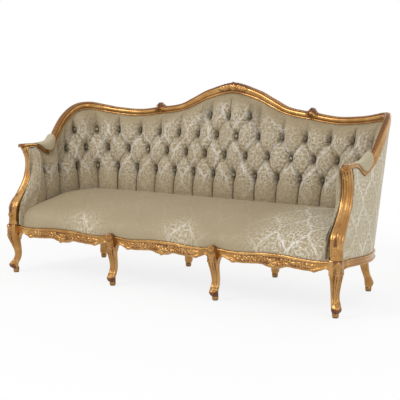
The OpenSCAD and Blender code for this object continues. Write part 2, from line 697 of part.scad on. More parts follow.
// Webbing: long straps rest on the side rails, cross straps on the front and back rails
function rail_x_at(y, u) = lookup(y, [for (t = [17:-0.25:4])
    let (p = on_line(rail_line, t) + u * inward(rail_line, t)) [p.y, p.x]]);
function rail_y_at(x, u) = lookup(x, [for (t = [0:0.25:12])
    let (p = on_line(rail_line, t) + u * inward(rail_line, t)) [p.x, p.y]]);
strap_edge = panel_set + panel_t + 2 * gap;
long_straps = 5;
cross_straps = 12;
module seat_webbing_long() {
    y0 = block_back + 0.9 * strap_w;
    pitch = (rail_depth - arm_depth - y0 - strap_w / 2) / long_straps;
    color(cloth) place() for (i = [0:long_straps - 1]) {
        y = y0 + (i + 0.5) * pitch;
        a = y - strap_w / 2;
        b = y + strap_w / 2;
        xa = rail_x_at(a, strap_edge);
        xb = rail_x_at(b, strap_edge);
        slab([[-xa, a], [xa, a], [xb, b], [-xb, b]], 0, strap_t);
    }
}
module seat_webbing_cross() {
    span = 2 * (half_w - 2 * knee_w - 1.5 * strap_w);
    color(cloth) place() for (i = [0:cross_straps - 1]) {
        x = span * (i / (cross_straps - 1) - 0.5);
        a = x - strap_w / 2;
        b = x + strap_w / 2;
        ya = rail_y_at(abs(a), strap_edge);
        yb = rail_y_at(abs(b), strap_edge);
        slab([[a, lip_w], [b, lip_w], [b, yb], [a, ya]], strap_t, strap_t);
    }
}
// Half outline of the seat, from the front corner round to the middle of the back
seat_u = arm_depth + pad_t + tuft_depth * 0.8;
function seat_edge(t, u) = let (p = on_line(rail_line, t) + u * inward(rail_line, t)) [p.x, p.y];
hessian_lift = 2 * strap_t;
pad_lift = hessian_lift + hessian_t + gap;
module seat_hessian() {
    edge = seat_u + strap_w / 4;
    half = [for (t = hessian_shares) seat_edge(t, edge)];
    color(cloth) place()
        slab(concat([[half[0].x, lip_w + gap]], half, backwards([for (p = half) [-p.x, p.y]]),
            [[-half[0].x, lip_w + gap]]), hessian_lift, hessian_t);
}

// Seat cushion: crowned, rolled over the front rail and sunk at its sides and back
seat_corner_share = 8;
function seat_side(b) = let (
    t = mix(15.6, seat_corner_share, b),
    p = seat_edge(t, seat_u),
    y = mix(seat_front, seat_edge(seat_corner_share, seat_u).y, b)
) [p.x + seat_flare * lookup(b, [[0, 1], [0.06, 0.7], [0.16, 0]]), b < 0.16 ? y : p.y];
function seat_plan(a, b) = let (
    side = seat_side(b),
    back = seat_edge(a * seat_corner_share, seat_u),
    corner = seat_edge(seat_corner_share, seat_u),
    front = seat_side(0),
    x = a * side.x + b * (back.x - a * corner.x),
    y = mix(seat_front, back.y, b) + a * a * (side.y - mix(seat_front, corner.y, b))
) [x, y];
function seat_top(a, b) = let (
    power = 2.4 - 0.4 * a * a,
    swell = pow(1 - pow(1 - b, power), 1 / power),
    crown = seat_crown * sin(180 * pow(b, 0.8)) * (1 - a * a),
    side = seat_sink * pow(abs(a), 24),
    rear = seat_sink * pow(b, 24)
) mix(rail_top, seat_h, swell) + crown + gap - max(side, rear) * swell;
module seat_cushion() {
    columns = 36;
    tops = [0, 0.012, 0.05, 0.11, 0.19, 0.3, 0.44, 0.6, 0.76, 0.9, 0.97, 1];
    color(cloth) place() skin([for (i = [0:columns]) let (
        a = sin(90 * (2 * i / columns - 1)),
        back = seat_plan(a, 1),
        front = seat_plan(a, 0),
        top = [for (b = tops) let (p = seat_plan(a, b)) [p.x, p.y, seat_top(a, b)]],
        low = [
            [front.x, lip_w - gap, frame_z(lip_w) + gap],
            [front.x, lip_w, frame_z(lip_w) + pad_lift],
            [back.x, back.y, frame_z(back.y) + pad_lift]
        ]
    ) concat(low, backwards(top))], 3, 1);
}

// Deep buttoning: crown in the middle of each diamond, pleats along its sides and a pit at each button
wing_row_share = 9.4;
wing_buttons = round(distance(wing_row_share) / button_pitch + 0.5);
row_tops = [
    [0, first_row + 3 * row_pitch], [button_pitch, first_row + 3 * row_pitch],
    [1.5 * button_pitch, first_row + 2 * row_pitch],
    [(wing_buttons - 0.5) * button_pitch, first_row + 2 * row_pitch],
    [wing_buttons * button_pitch, first_row + row_pitch], [(wing_buttons + 0.5) * button_pitch, first_row]
];
function lattice(s, z) = let (
    zz = clamp(z, first_row, lookup(abs(s), row_tops)),
    a = (abs(s) - button_pitch / 2) / button_pitch,
    b = (zz - first_row) / (2 * row_pitch)
) [a + b, a - b];
low_fade = [[0, 0.1], [0.3, 0.6], [0.55, 0.95], [1, 1]];
function tuft(s, z) = let (
    c = lattice(s, z),
    m = abs(sin(180 * c[0])),
    n = abs(sin(180 * c[1])),
    fade = lookup((z - tack_h) / (first_row - tack_h), low_fade)
) pad_t + tuft_depth * fade * mix(m * n, max(m, n), pleat_share);
function is_whole(v) = abs(v - round(v)) < 0.01;

// Heights of the rows of points up a column of padding, n of them above the lowest buttons
row_step = row_pitch / 2;
least_step = 12;
function row_heights(low, top, n) = concat(
    [low + gap, first_row - 8 * row_step / 3, each [first_row - 2 * row_step:row_step:first_row]],
    [for (i = [1:n]) i == n ? top : min(first_row + i * row_step, top - (n - i) * least_step)]);
// Column of padding at a distance along the back: the heights of its flat rear, then of its buttoned front
function padded_column(s, n) = let (
    t = station(s),
    way = inward(rail_line, t),
    rows = row_heights(tack_z(t), inside_top(t).z, n),
    ends = len(rows) - 1,
    front = [for (i = [0:ends]) inside(t, rows[i]) + way * (i == ends ? edge_t
        : i == ends - 1 ? mix(edge_t, tuft(s, rows[i]), 0.8) : tuft(s, rows[i]))],
    rear = [for (f = rear_shares) inside(t, rear_z(t, f))]
) concat(rear, backwards(front));

// Padding with each pleat's crease lying along an edge between two faces
module padding(columns, distances, n) {
    rows = row_heights(tack_h, first_row + n * row_pitch, n);
    m = len(rear_shares) + len(rows);
    skin(columns, len(rear_shares), 2, function (i, j)
        i < len(distances) - 1 && j >= len(rear_shares) && j < m - 1
            && is_whole(lattice(distances[i], rows[m - 1 - j])[distances[i] < 0 ? 1 : 0]));
}
quarter = button_pitch / 4;
back_end_share = 5.93;
back_columns = 2 * round(distance(back_end_share) / quarter / 2);
back_rows = 8;
module inside_back() {
    distances = [for (i = [-back_columns:back_columns]) i * quarter];
    columns = [for (s = distances) padded_column(s, back_rows)];
    color(cloth) place() padding(columns, distances, back_rows);
}
roll_shares = [-1, 0, 0.55, 1];
arm_end_share = 14.8;
arm_columns = floor(distance(arm_end_share) / quarter);
arm_rows = 6;
module inside_arm_right() {
    distances = [for (i = [back_columns:arm_columns]) i * quarter + (i == back_columns ? gap : 0)];
    last_s = arm_columns * quarter;
    rows = row_heights(tack_z(arm_front_share), inside_top(station(last_s)).z, arm_rows);
    ends = len(rows) - 1;
    // The roll round the front of the arm, held to the inner side of the arm support
    at = function (z, h, step) [
        min(inside(arm_front_share, z).x, inside(last_share, z).x - over, stump_inner(z) - gap) - h,
        mix(stump_rear(z) + gap, stump_front(z) + edge_t, step), z];
    roll = [for (step = [[0, 0.95], [0.5, 0.7], [1, 0]]) concat(
        [for (f = roll_shares) at(f < 0 ? rows[0] : mix(tack_h + gap, rows[ends], f), 0, step[0])],
        backwards([for (i = [0:ends]) at(rows[i],
            i == ends ? edge_t : mix(edge_t, tuft(last_s, rows[i]), step[1]), step[0])])
    )];
    columns = [for (s = distances) padded_column(s, arm_rows)];
    color(cloth) place() padding(concat(columns, roll), distances, arm_rows);
}
module inside_arm_left() { left() inside_arm_right(); }

// Covered buttons, each drawn down into its pit by the shank behind it
button_h = button_d / 3;
shank_d = button_d / 6;
pit_slope = (tuft(button_pitch / 2 + quarter, first_row) - pad_t) / quarter;
shank_foot = pad_t + pit_slope * shank_d / 2 + gap;
button_seat = pad_t + tuft_depth * 0.29 + gap;
module button(s, z) {
    t = station(s);
    n = inward(rail_line, t);
    translate(inside(t, z)) rotate([0, 90, atan2(n.y, n.x)]) {
        translate([0, 0, button_seat]) cylinder(d1 = button_d, d2 = button_d / 2, h = button_h);
        translate([0, 0, shank_foot]) cylinder(d = shank_d, h = button_seat - shank_foot + button_h / 2);
    }
}
module tufting_buttons() {
    color(cloth) place() for (side = [0, 1]) mirror([side, 0, 0]) {
        for (i = [0:floor((arm_columns - 3) / 4)]) button((i + 0.5) * button_pitch, first_row);
        for (i = [1:wing_buttons]) button(i * button_pitch, first_row + row_pitch);
        for (i = [0:wing_buttons - 1]) button((i + 0.5) * button_pitch, first_row + 2 * row_pitch);
        button(button_pitch, first_row + 3 * row_pitch);
        if (side == 0) button(0, first_row + row_pitch);
        if (side == 0) button(0, first_row + 3 * row_pitch);
    }
}

// Arm pad: a crowned pad bedded in the dip of the arm rail
pad_shares = [
    [-1, 0], [-1, 0.4], [-0.8, 0.78], [-0.42, 0.96], [0, 1], [0.42, 0.96], [0.8, 0.78], [1, 0.4], [1, 0]
];
pad_rise_shares = [
    [11.5, 0.12], [11.8, 0.4], [12.1, 0.7], [12.4, 0.9], [12.7, 1], [13, 1], [13.3, 0.88], [13.6, 0.62],
    [13.9, 0.34], [14.2, 0.12]
];
module arm_pad_right() {
    color(cloth) place() loft([for (r = pad_rise_shares) let (
        t = r[0],
        rise = arm_pad_h * r[1],
        wide = arm_pad_w / 2 * min(1, 0.75 + 0.25 * rise / arm_pad_h)
    ) [for (s = pad_shares) spot(t, s[0] * wide, half_h(t) + over) + [0, 0, s[1] * rise]]]);
}
module arm_pad_left() { left() arm_pad_right(); }

// Outside panels, stretched from the seat rail to the moulding
function panel_column(t, shares) = concat([for (f = shares) outside(t, f, 0)],
    backwards([for (f = shares) outside(t, f, panel_t)]));
module outside_back() {
    half = back_panel_shares;
    stations = concat([for (i = [len(half) - 1:-1:1]) -half[i]], half);
    color(pale_cloth) place() skin([for (t = stations) panel_column(t, [0, 1])], 2, 2);
}
// The side panel is cut along its front edge to the sweep of the arm support
stump_clear = 2 * tuck;
panel_end_share = 16.8;
panel_shares = [0, 0.12, 0.3, 0.45, 0.6, 0.75, 0.9, 1];
function swept_back(p, t) =
    [p.x, max(p.y, stump_back(p.z) + stump_clear + (last_share - t) * gap, block_back + gap), p.z];
module outside_arm_right() {
    stations = [
        seam_share + tiny_share, each [for (t = side_shares) if (t > seam_share && t < panel_end_share) t],
        panel_end_share
    ];
    color(pale_cloth) place() skin([for (t = stations)
        [for (p = panel_column(t, panel_shares)) swept_back(p, t)]], len(panel_shares), 2);
}
module outside_arm_left() { left() outside_arm_right(); }

// Cloth nailed under the frame, cut round the rear legs
module dust_cover() {
    half = [for (t = dust_shares)
        seat_edge(t, lookup(t, [[15, rail_t / 2], [15.3, rail_t + 2 * over]]))];
    front = block_back + gap;
    color("dimgray") place() difference() {
        slab(concat([[half[0].x, front]], half, backwards([for (p = half) [-p.x, p.y]]),
            [[-half[0].x, front]]), -side_rail_h - gap - dust_t, dust_t);
        for (side = [0, 1]) mirror([side, 0, 0]) {
            leg_cut(under_rail(rear_share));
            leg_cut(under_rail(rear_inner_share));
        }
    }
}
rear_leg_cut = rear_leg_w * 1.1 + 2 * gap;
module leg_cut(at) {
    translate([at.x, at.y, frame_z(at.y) - side_rail_h]) cube(rear_leg_cut, center = true);
}

// Felt pads under the pegs
module foot_glides() {
    feet = [corner_foot, inner_foot, under_rail(rear_share) + out_way(rear_share) * rear_splay,
        under_rail(rear_inner_share) + out_way(rear_inner_share) * rear_splay * inner_splay_share];
    color("dimgray") place() for (side = [0, 1], foot = feet) mirror([side, 0, 0])
        translate([foot.x, foot.y, 0]) cylinder(d = glide_d, h = glide_h);
}

front_leg_left();
front_leg_inner_left();
front_leg_inner_right();
front_leg_right();
rear_leg_left();
rear_leg_inner_left();
rear_leg_inner_right();
rear_leg_right();
front_rail_left();
front_rail_centre();
front_rail_right();
side_rail_left();
side_rail_right();
back_rail();
arm_support_left();
arm_support_right();
arm_rail_left();
arm_rail_right();
wing_rail_left();
wing_rail_right();
crest_rail_left();
crest_rail_centre();
crest_rail_right();
back_post_left();
back_post_right();
corner_post_left();
corner_post_right();
wing_post_left();
wing_post_right();
tacking_rails();
cross_bar_left();
cross_bar_right();
corner_blocks();
corner_block_screws();
frame_dowels();
seat_webbing_long();
seat_webbing_cross();
seat_hessian();
seat_cushion();
inside_back();
inside_arm_left();
inside_arm_right();
tufting_buttons();
arm_pad_left();
arm_pad_right();
outside_back();
outside_arm_left();
outside_arm_right();
dust_cover();
foot_glides();
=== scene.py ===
"""Looks of a three-seat cabriole sofa: carved and gilded frame, deep-buttoned damask, crowned seat."""

import math
from functools import partialmethod
from math import pi

import bmesh
import bpy
import numpy as np
from numpy import array, clip, concatenate, cos, interp, linspace, maximum, minimum, sin
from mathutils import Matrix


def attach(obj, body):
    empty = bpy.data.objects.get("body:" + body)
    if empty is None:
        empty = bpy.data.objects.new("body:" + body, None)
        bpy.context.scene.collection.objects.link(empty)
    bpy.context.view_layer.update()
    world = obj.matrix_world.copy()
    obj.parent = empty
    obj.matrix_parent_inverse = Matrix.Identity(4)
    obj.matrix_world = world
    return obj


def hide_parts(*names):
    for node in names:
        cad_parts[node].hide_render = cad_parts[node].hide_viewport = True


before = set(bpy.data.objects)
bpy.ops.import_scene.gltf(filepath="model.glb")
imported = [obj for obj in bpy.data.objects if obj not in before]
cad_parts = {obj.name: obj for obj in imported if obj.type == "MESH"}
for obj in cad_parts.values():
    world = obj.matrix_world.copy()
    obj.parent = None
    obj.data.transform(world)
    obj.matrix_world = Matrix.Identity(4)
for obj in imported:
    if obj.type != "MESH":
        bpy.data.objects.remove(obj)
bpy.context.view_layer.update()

# Sizes, in metres, as in the CAD source
LEG_SPAN, INNER_SPAN, REAR_INNER_SPAN = 2.006, 0.640, 0.574
RAIL_DEPTH, CREST_DEPTH, SIDE_BOW, WING_OUT = 0.668, 0.706, 0.026, 0.021
CREST_H, ARM_H, SEAT_H, RAIL_TOP, RAIL_DROP = 1.035, 0.688, 0.436, 0.268, 0.028
FRONT_RAIL_H, SIDE_RAIL_H, RAIL_T = 0.050, 0.038, 0.028
CREST_T, MOULDING_D, WING_T, ARM_T = 0.040, 0.036, 0.034, 0.018
KNEE_W, INNER_KNEE_W, ANKLE_W, REAR_LEG_W = 0.054, 0.048, 0.039, 0.042
LEG_SWING, REAR_SPLAY, PEG_D = 0.016, 0.034, 0.033
STUMP_W, STUMP_D, STUMP_SWEEP, STUMP_LEAN = 0.053, 0.042, 0.124, 0.010
PITCH, ROW, FIRST_ROW = 0.1335, 0.105, 0.560
TUFT, BUTTON_D, PAD_T = 0.030, 0.022, 0.012
SEAT_CROWN, ARM_PAD_W, ARM_PAD_H, PANEL_T = 0.018, 0.054, 0.056, 0.005
GAP, TUCK, OVER = 0.0003, 0.002, 0.001
GLIDE_H, PEG_H, BLOCK_RISE, BLOCK_SET = 0.005, 0.024, 0.008, -0.004
SHELL_RISE, FOOT_IN, FOOT_OUT, INNER_FOOT_Y, REAR_SET = 0.014, 0.003, 0.004, 0.009, 0.019
KNEE_DIP, LIP_W, SEAT_FLARE, SEAT_SINK = 0.012, 0.012, 0.017, 0.016
ARM_DEPTH, TACK_H, EDGE_T, PANEL_SET, RAIL_FACE = 0.068, 0.330, 0.008, 0.008, -0.006
STRAP_W, STRAP_T, HESSIAN_T = 0.050, 0.002, 0.001

HALF_W = LEG_SPAN / 2
WING_X, RAIL_X = HALF_W + WING_OUT, HALF_W + SIDE_BOW
RISE = CREST_H - ARM_H
BLOCK_H = RAIL_TOP + BLOCK_RISE
BLOCK_BACK = BLOCK_SET + KNEE_W / 2
MID_Y = (CREST_DEPTH + MOULDING_D / 2 + BLOCK_SET - KNEE_W / 2) / 2
HALF_D = MOULDING_D / 2

TOP_SHARES = [
    (0, 1, 1), (0.146, 1, 0.902), (0.244, 1, 0.772), (0.342, 0.998, 0.647), (0.485, 0.996, 0.584),
    (0.627, 0.988, 0.535), (0.762, 0.958, 0.556), (0.859, 0.927, 0.592), (0.936, 0.866, 0.624),
    (0.974, 0.762, 0.584), (0.991, 0.64, 0.416), (0.991, 0.527, 0.166), (0.982, 0.456, 0),
    (0.973, 0.378, -0.087), (0.976, 0.268, 0.03), (0.979, 0.184, 0.053), (0.98, 0.112, 0.055),
    (0.98, 0.077, 0.053),
]
RAIL_SHARES = [
    (0, 1), (0.146, 1), (0.238, 1), (0.331, 1), (0.467, 1), (0.598, 0.995), (0.718, 0.977), (0.815, 0.94),
    (0.887, 0.872), (0.934, 0.766), (0.965, 0.65), (0.99, 0.527), (0.998, 0.45), (1, 0.37), (0.998, 0.265),
    (0.995, 0.16), (0.993, 0.08), (0.992, BLOCK_BACK / RAIL_DEPTH),
]
LAST = len(TOP_SHARES) - 1
# Stations along these lines, 0 in the middle of the back and LAST at the front of an arm
CREST_JOINT, SHOULDER, WING_FOOT, RAIL_JOINT, REAR_LEG_AT, STUMP_AT = 4, 7, 11.5, 6.5, 7.3, 16.0
PAD_START, PAD_END, GIMP_END, COVER_END, HESSIAN_FRONT, HESSIAN_BACK = 11.35, 14.2, 15.6, 16.8, 15.5, 4
SIDES = ((1, "right"), (-1, "left"))


# Lines and surfaces shared with the CAD source
def spline(points, t):
    """Points of the spline through a list, at the given places along it."""
    p, t = np.asarray(points, float), np.asarray(t, float)
    n = len(p) - 1
    q = concatenate([[2 * p[0] - p[1]], p, [2 * p[n] - p[n - 1]]])
    i = clip(np.floor(t).astype(int), 0, n - 1)
    f = (t - i).reshape(t.shape + (1,) * (p.ndim - 1))
    a, b, c, d = q[i], q[i + 1], q[i + 2], q[i + 3]
    return (2 * b + (c - a) * f + (2 * a - 5 * b + 4 * c - d) * f**2 + (3 * b - a - 3 * c + d) * f**3) / 2


def both(points):
    """A line from its middle to its right end, with its mirror image before it."""
    p = np.asarray(points, float)
    return concatenate([(p * [-1, 1, 1])[:0:-1], p])


TOP = both([(a * WING_X, b * CREST_DEPTH, ARM_H + c * RISE) for a, b, c in TOP_SHARES])
RAIL = both([(a * RAIL_X, b * RAIL_DEPTH, 0) for a, b in RAIL_SHARES])


def unit(v):
    return v / np.linalg.norm(v, axis=-1, keepdims=True)


def mix(a, b, f):
    return a + (b - a) * f


def smooth(a, b, x):
    """0 below a, 1 above b, with a soft turn between."""
    f = clip((x - a) / (b - a), 0, 1)
    return f * f * (3 - 2 * f)


def bell(x, wide):
    """A bump: 1 at 0, gone at about twice its width."""
    return np.exp(-(x / wide) ** 2)


def turn(n):
    """Angles of n places once round."""
    return linspace(0, 2 * pi, n, endpoint=False)


def joined(*parts):
    """Coordinates put side by side, each spread to the shape of the largest."""
    return np.stack(np.broadcast_arrays(*parts), -1)


def mirrored(x, xs, ys):
    """A table that is read on both sides of 0."""
    return np.sign(x) * interp(abs(x), xs, ys)


def walked(p):
    """Distance from the start along a line of points, or along each row of a grid of them."""
    steps = np.linalg.norm(np.diff(p, axis=-2), axis=-1)
    return concatenate([0 * steps[..., :1], np.cumsum(steps, -1)], -1)


def folded(a, b):
    """Rows that run out along one grid and back along the other."""
    return concatenate([a, b[:, ::-1]], 1)


def table(x, rows):
    """Value at x of a table with rows of x and value."""
    rows = np.asarray(rows, float)
    return interp(x, rows[:, 0], rows[:, 1])


def on_line(line, t):
    return spline(line, t + LAST)


def ahead(line, t):
    return unit(on_line(line, t + 0.01) - on_line(line, t - 0.01))


def inward(line, t):
    d = ahead(line, t)
    return unit(joined(d[..., 1], -d[..., 0], 0))


def half_h(t):
    """Half the height of the moulding."""
    crest, wing, arm = CREST_T / 2, WING_T / 2, ARM_T / 2
    return table(abs(t), [(0, crest), (6, crest), (9, wing), (WING_FOOT, wing), (12.4, arm)])


def half_low(t):
    """Depth of the moulding below its line: more in the middle, under the cartouche."""
    extra = [(0, 0.85), (0.3, 0.75), (0.8, 0.6), (1.4, 0.42), (2.2, 0.2), (3, 0)]
    return half_h(t) * (1 + table(abs(t), extra))


def spot(t, u, v):
    """A point of the moulding's section at a station: u inwards, v upwards."""
    n, u, v = inward(TOP, t), np.asarray(u)[..., None], np.asarray(v)[..., None]
    return on_line(TOP, t) + u * n + v * np.cross(n, ahead(TOP, t))


def frame_z(y):
    """Height of the seat frame's top, which falls to the back."""
    return RAIL_TOP - RAIL_DROP * y / RAIL_DEPTH


def knee_fall(t):
    """How far the side rail's top falls towards the knee of the front leg."""
    return KNEE_DIP * table(abs(t), [(15.4, 0), (15.8, 0.15), (16.4, 0.6), (17, 1)])


def outside(t, f, u):
    """Outside cover from the seat rail (f 0) to the underside of the moulding (f 1)."""
    low = on_line(RAIL, t) + (PANEL_SET + u) * inward(RAIL, t)
    low[..., 2] = frame_z(low[..., 1]) - knee_fall(t) + GAP
    tuck = TUCK * table(abs(t), [(12, 1), (13, 1.7), (14, 1.7), (15, 1)])
    return mix(low, spot(t, u - 0.85 * HALF_D, -half_low(t) - tuck), f[..., None])


def inside_top(t):
    """Where the rear of the padding meets the underside of the moulding."""
    tuck = TUCK * table(abs(t), [(10, 1), (11, 2.6), (13, 4), (15, 2.6)])
    return spot(t, 0.55 * HALF_D - EDGE_T, -half_low(t) - tuck)


def inside(t, z):
    """Line of the padding's rear at a station and a height."""
    t, z = np.broadcast_arrays(t, z)
    low = on_line(RAIL, t) + ARM_DEPTH * inward(RAIL, t)
    high = inside_top(t)
    f = clip((z - TACK_H) / (high[..., 2] - TACK_H), 0, 1)
    g = f ** maximum(1, 2.2 - abs(t) / 6)
    return joined(mix(low[..., 0], high[..., 0], g), mix(low[..., 1], high[..., 1], g), z)


WALK_T = np.arange(0, LAST + 0.001, 0.125)
WALK_S = walked(inside(WALK_T, (FIRST_ROW + SEAT_H) / 2))


def station(s):
    """Station at a distance along the padding from the middle of the back."""
    return mirrored(s, WALK_S, WALK_T)


# Highest row of buttons at a distance from the middle, in pitches
ROW_TOPS = [(0, 3), (1, 3), (1.5, 2), (7.5, 2), (8, 1), (8.5, 0)]


def lattice(s, z):
    """Place in the lattice of pleats: both numbers are whole at a button."""
    top = FIRST_ROW + ROW * table(abs(s) / PITCH, ROW_TOPS)
    held = minimum(maximum(z, FIRST_ROW), top)
    a = abs(s) / PITCH - 0.5
    b = (held - FIRST_ROW) / (2 * ROW)
    return a + b, a - b


BUTTONS = array([(s * PITCH, FIRST_ROW + row * ROW)
                 for row, reach in enumerate((9.5, 8, 7.5, 1)) for s in np.arange(-reach, reach + 0.5)])


def tuft(s, z):
    """Thickness of the buttoned padding, in diamonds with pleats and pits, and the painted shade of its folds
    and pits.
    """
    s, z = np.broadcast_arrays(s, z)
    a, b = lattice(s, z)
    m, n = abs(sin(pi * a)), abs(sin(pi * b))
    fade = table((z - TACK_H) / (FIRST_ROW - TACK_H), [(0, 0.2), (0.3, 0.6), (0.55, 0.9), (1, 1)])
    below = smooth(FIRST_ROW, FIRST_ROW - 0.03, z) * (z < FIRST_ROW + 0.001)
    crease = minimum(m, n)
    body = mix(0.55 * (m * n) ** 0.5 + 0.45 * maximum(m, n) ** 0.8, (m * n) ** 0.3, below)
    fold = 0.12 * bell(crease, 0.1)
    near = np.ones(s.shape)
    for button_s, button_z in BUTTONS:
        at = (abs(s - button_s) < 0.05) & (abs(z - button_z) < 0.09)
        near[at] = minimum(near[at], np.hypot((s - button_s)[at], 0.42 * (z - button_z)[at]))
    pit = bell(near, 0.0135)
    thick = PAD_T + TUFT * fade * clip(1.08 * body - fold - 0.75 * pit, -0.2, 1.12)
    # Painted shade: darkest in the button pits and in the pleats below the lowest row, and a little along
    # every crease.
    dark = 1.05 * np.exp(-(near / 0.0115) ** 3) + below * fade * 0.9 * bell(crease, 0.05)
    return thick, clip(dark + 0.25 * bell(crease, 0.09), 0, 1)


# Mesh building
class Piece:
    """Collects closed tubes in metres, in the CAD source's own place, into one mesh object."""

    def __init__(self, side=1):
        self.co, self.uv, self.bole, self.figure, self.faces = [], [], [], [], []
        self.n, self.side = 0, side

    def add(self, p, uv=None, bole=0.0, figure=1.0, flip=False):
        """A grid of points, each of its rows a closed ring, with a cap at both ends."""
        p = array(p, float)
        r, c = p.shape[:2]
        if uv is None:
            uv = joined(np.arange(r)[:, None] * 0.01, np.arange(c) * 0.01)
        if self.side < 0:
            p[..., 0] *= -1
            flip = not flip
        i, j = np.meshgrid(np.arange(r - 1), np.arange(c), indexing="ij")
        k = (j + 1) % c
        quads = joined(i * c + j, i * c + k, (i + 1) * c + k, (i + 1) * c + j)
        caps = [list(range(c))[::-1], list(range((r - 1) * c, r * c))]
        faces = quads.reshape(-1, 4).tolist() + caps
        self.faces += [[v + self.n for v in face[::-1 if flip else 1]] for face in faces]
        self.co.append(p.reshape(-1, 3))
        self.uv.append(np.broadcast_to(uv, (r, c, 2)).reshape(-1, 2))
        self.bole.append(np.broadcast_to(bole, (r, c)).reshape(-1))
        self.figure.append(np.broadcast_to(figure, (r, c)).reshape(-1))
        self.n += r * c
        return self

    def build(self, name, material, slot, *nodes):
        mesh = bpy.data.meshes.new(name)
        mesh.from_pydata((concatenate(self.co) - [0, MID_Y, 0]).tolist(), [], self.faces)
        mesh.polygons.foreach_set("use_smooth", [True] * len(self.faces))
        order = np.zeros(len(mesh.loops), np.int32)
        mesh.loops.foreach_get("vertex_index", order)
        uv = concatenate(self.uv)[order].astype(np.float32)
        mesh.uv_layers.new(name="cloth").data.foreach_set("uv", uv.ravel())
        # The first attribute holds the red-brown clay that shows under the gilding, and painted shade: in the
        # gilt's recesses and in the cloth's pleats, folds and button pits. The second holds the damask's
        # painted sheen.
        for key, values in (("bole", self.bole), ("figure", self.figure)):
            values = concatenate(values).astype(np.float32)
            mesh.attributes.new(key, "FLOAT", "POINT").data.foreach_set("value", values)
        mesh.validate()
        mesh.update()
        return stand_in(name, mesh, material, slot, *nodes)


def linked(name, data):
    """A new object in the scene."""
    obj = bpy.data.objects.new(name, data)
    bpy.context.scene.collection.objects.link(obj)
    return obj


def stand_in(name, mesh, material, slot, *nodes):
    """A mesh as a piece of the sofa, in place of the CAD nodes that it stands for."""
    mesh.materials.append(material)
    obj = linked(name, mesh)
    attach(obj, "root")
    if nodes:
        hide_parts(*nodes)
    return obj


def outline(points, n):
    """A closed smooth outline of n points through a few given ones."""
    p = np.asarray(points, float)
    q = concatenate([p[-3:], p, p[:3]])
    return spline(q, 3 + np.arange(n) * len(p) / n)


def normals_2d(p):
    """Outward normals of a closed outline that runs anticlockwise."""
    d = np.roll(p, -1, 0)[:, :2] - np.roll(p, 1, 0)[:, :2]
    return unit(joined(d[:, 1], -d[:, 0]))


def by_length(line, t0, t1, step):
    """Stations between two, evenly spaced along a line, and the distance of each from the middle."""
    t = linspace(0, LAST, 1400)
    s = walked(on_line(line, t))
    a, b = mirrored(t0, t, s), mirrored(t1, t, s)
    at = linspace(a, b, max(4, int(round(abs(b - a) / step))) + 1)
    return mirrored(at, s, t), at


def tube(piece, path, radius, bole=0.0):
    """A round bead along a path of points; radius is one number or one for each point."""
    d = unit(np.gradient(path, axis=0))
    up = array([0, 0, 1.0]) if abs(d[:, 2]).max() < 0.95 else array([0.3, -1.0, 0.2])
    a = unit(np.cross(d, up))
    b = np.cross(d, a)
    w = turn(8)[None, :, None]
    r = np.broadcast_to(radius, len(path))[:, None, None]
    piece.add(path[:, None] + r * (a[:, None] * cos(w) + b[:, None] * sin(w)), bole=bole)


def leaf_height(x, y):
    """Carved leaf from x 0 to 1 with its midrib on y 0: lobed edge, veins and a turned-up tip."""
    w = clip(sin(pi * clip(x, 0, 1) ** 0.75), 0, 1) * (0.82 + 0.18 * abs(cos(6.5 * pi * x)))
    q = abs(y) / maximum(w, 1e-3)
    veins = 0.78 + 0.22 * cos(2 * pi * (4.2 * x - 1.1 * q))
    height = np.sqrt(clip(1 - q**2, 0, 1)) * veins * (1 - 0.35 * bell(q, 0.14))
    return np.where((x > 0) & (x < 1) & (q < 1), height, 0)


def flower_height(x, y, petals):
    """Carved flower of radius 1: petals round a raised eye."""
    r, lobes = np.hypot(x, y), abs(cos(petals * np.arctan2(y, x) / 2))
    q = r / (0.78 + 0.22 * lobes)
    petal = np.sqrt(clip(1 - q**4, 0, 1)) * (0.55 + 0.45 * lobes) * (0.65 + 0.35 * q)
    return np.where(q < 1, maximum(petal, 0.95 * bell(r, 0.24)), 0)


# Materials
class V:
    """A value in a node tree, which can be added, multiplied and so on."""

    def __init__(self, tree, socket):
        self.tree, self.socket = tree, socket

    def op(self, kind, *others):
        node = self.tree.nodes.new("ShaderNodeMath")
        node.operation = kind
        for k, other in enumerate((self, *others)):
            if isinstance(other, V):
                self.tree.links.new(other.socket, node.inputs[k])
            else:
                node.inputs[k].default_value = other
        return V(self.tree, node.outputs[0])

    __add__ = __radd__ = partialmethod(op, "ADD")
    __mul__ = __rmul__ = partialmethod(op, "MULTIPLY")
    __sub__, __truediv__ = partialmethod(op, "SUBTRACT"), partialmethod(op, "DIVIDE")

    def __rsub__(self, other):
        return (self * -1) + other

    def soft(self, a, b, low=0.0, high=1.0):
        """From low to high, softly, as the value goes from a to b."""
        node = self.tree.nodes.new("ShaderNodeMapRange")
        node.interpolation_type = "SMOOTHSTEP"
        self.tree.links.new(self.socket, node.inputs["Value"])
        for key, value in (("From Min", a), ("From Max", b), ("To Min", low), ("To Max", high)):
            node.inputs[key].default_value = value
        return V(self.tree, node.outputs["Result"])


def highest(first, *others):
    """The largest of several node values."""
    for other in others:
        first = first.op("MAXIMUM", other)
    return first


def seen_by(tree, *rays):
    """1 for the rays that are named, 0 for all others."""
    path = tree.nodes.new("ShaderNodeLightPath")
    return highest(*[V(tree, path.outputs[f"Is {ray} Ray"]) for ray in rays])


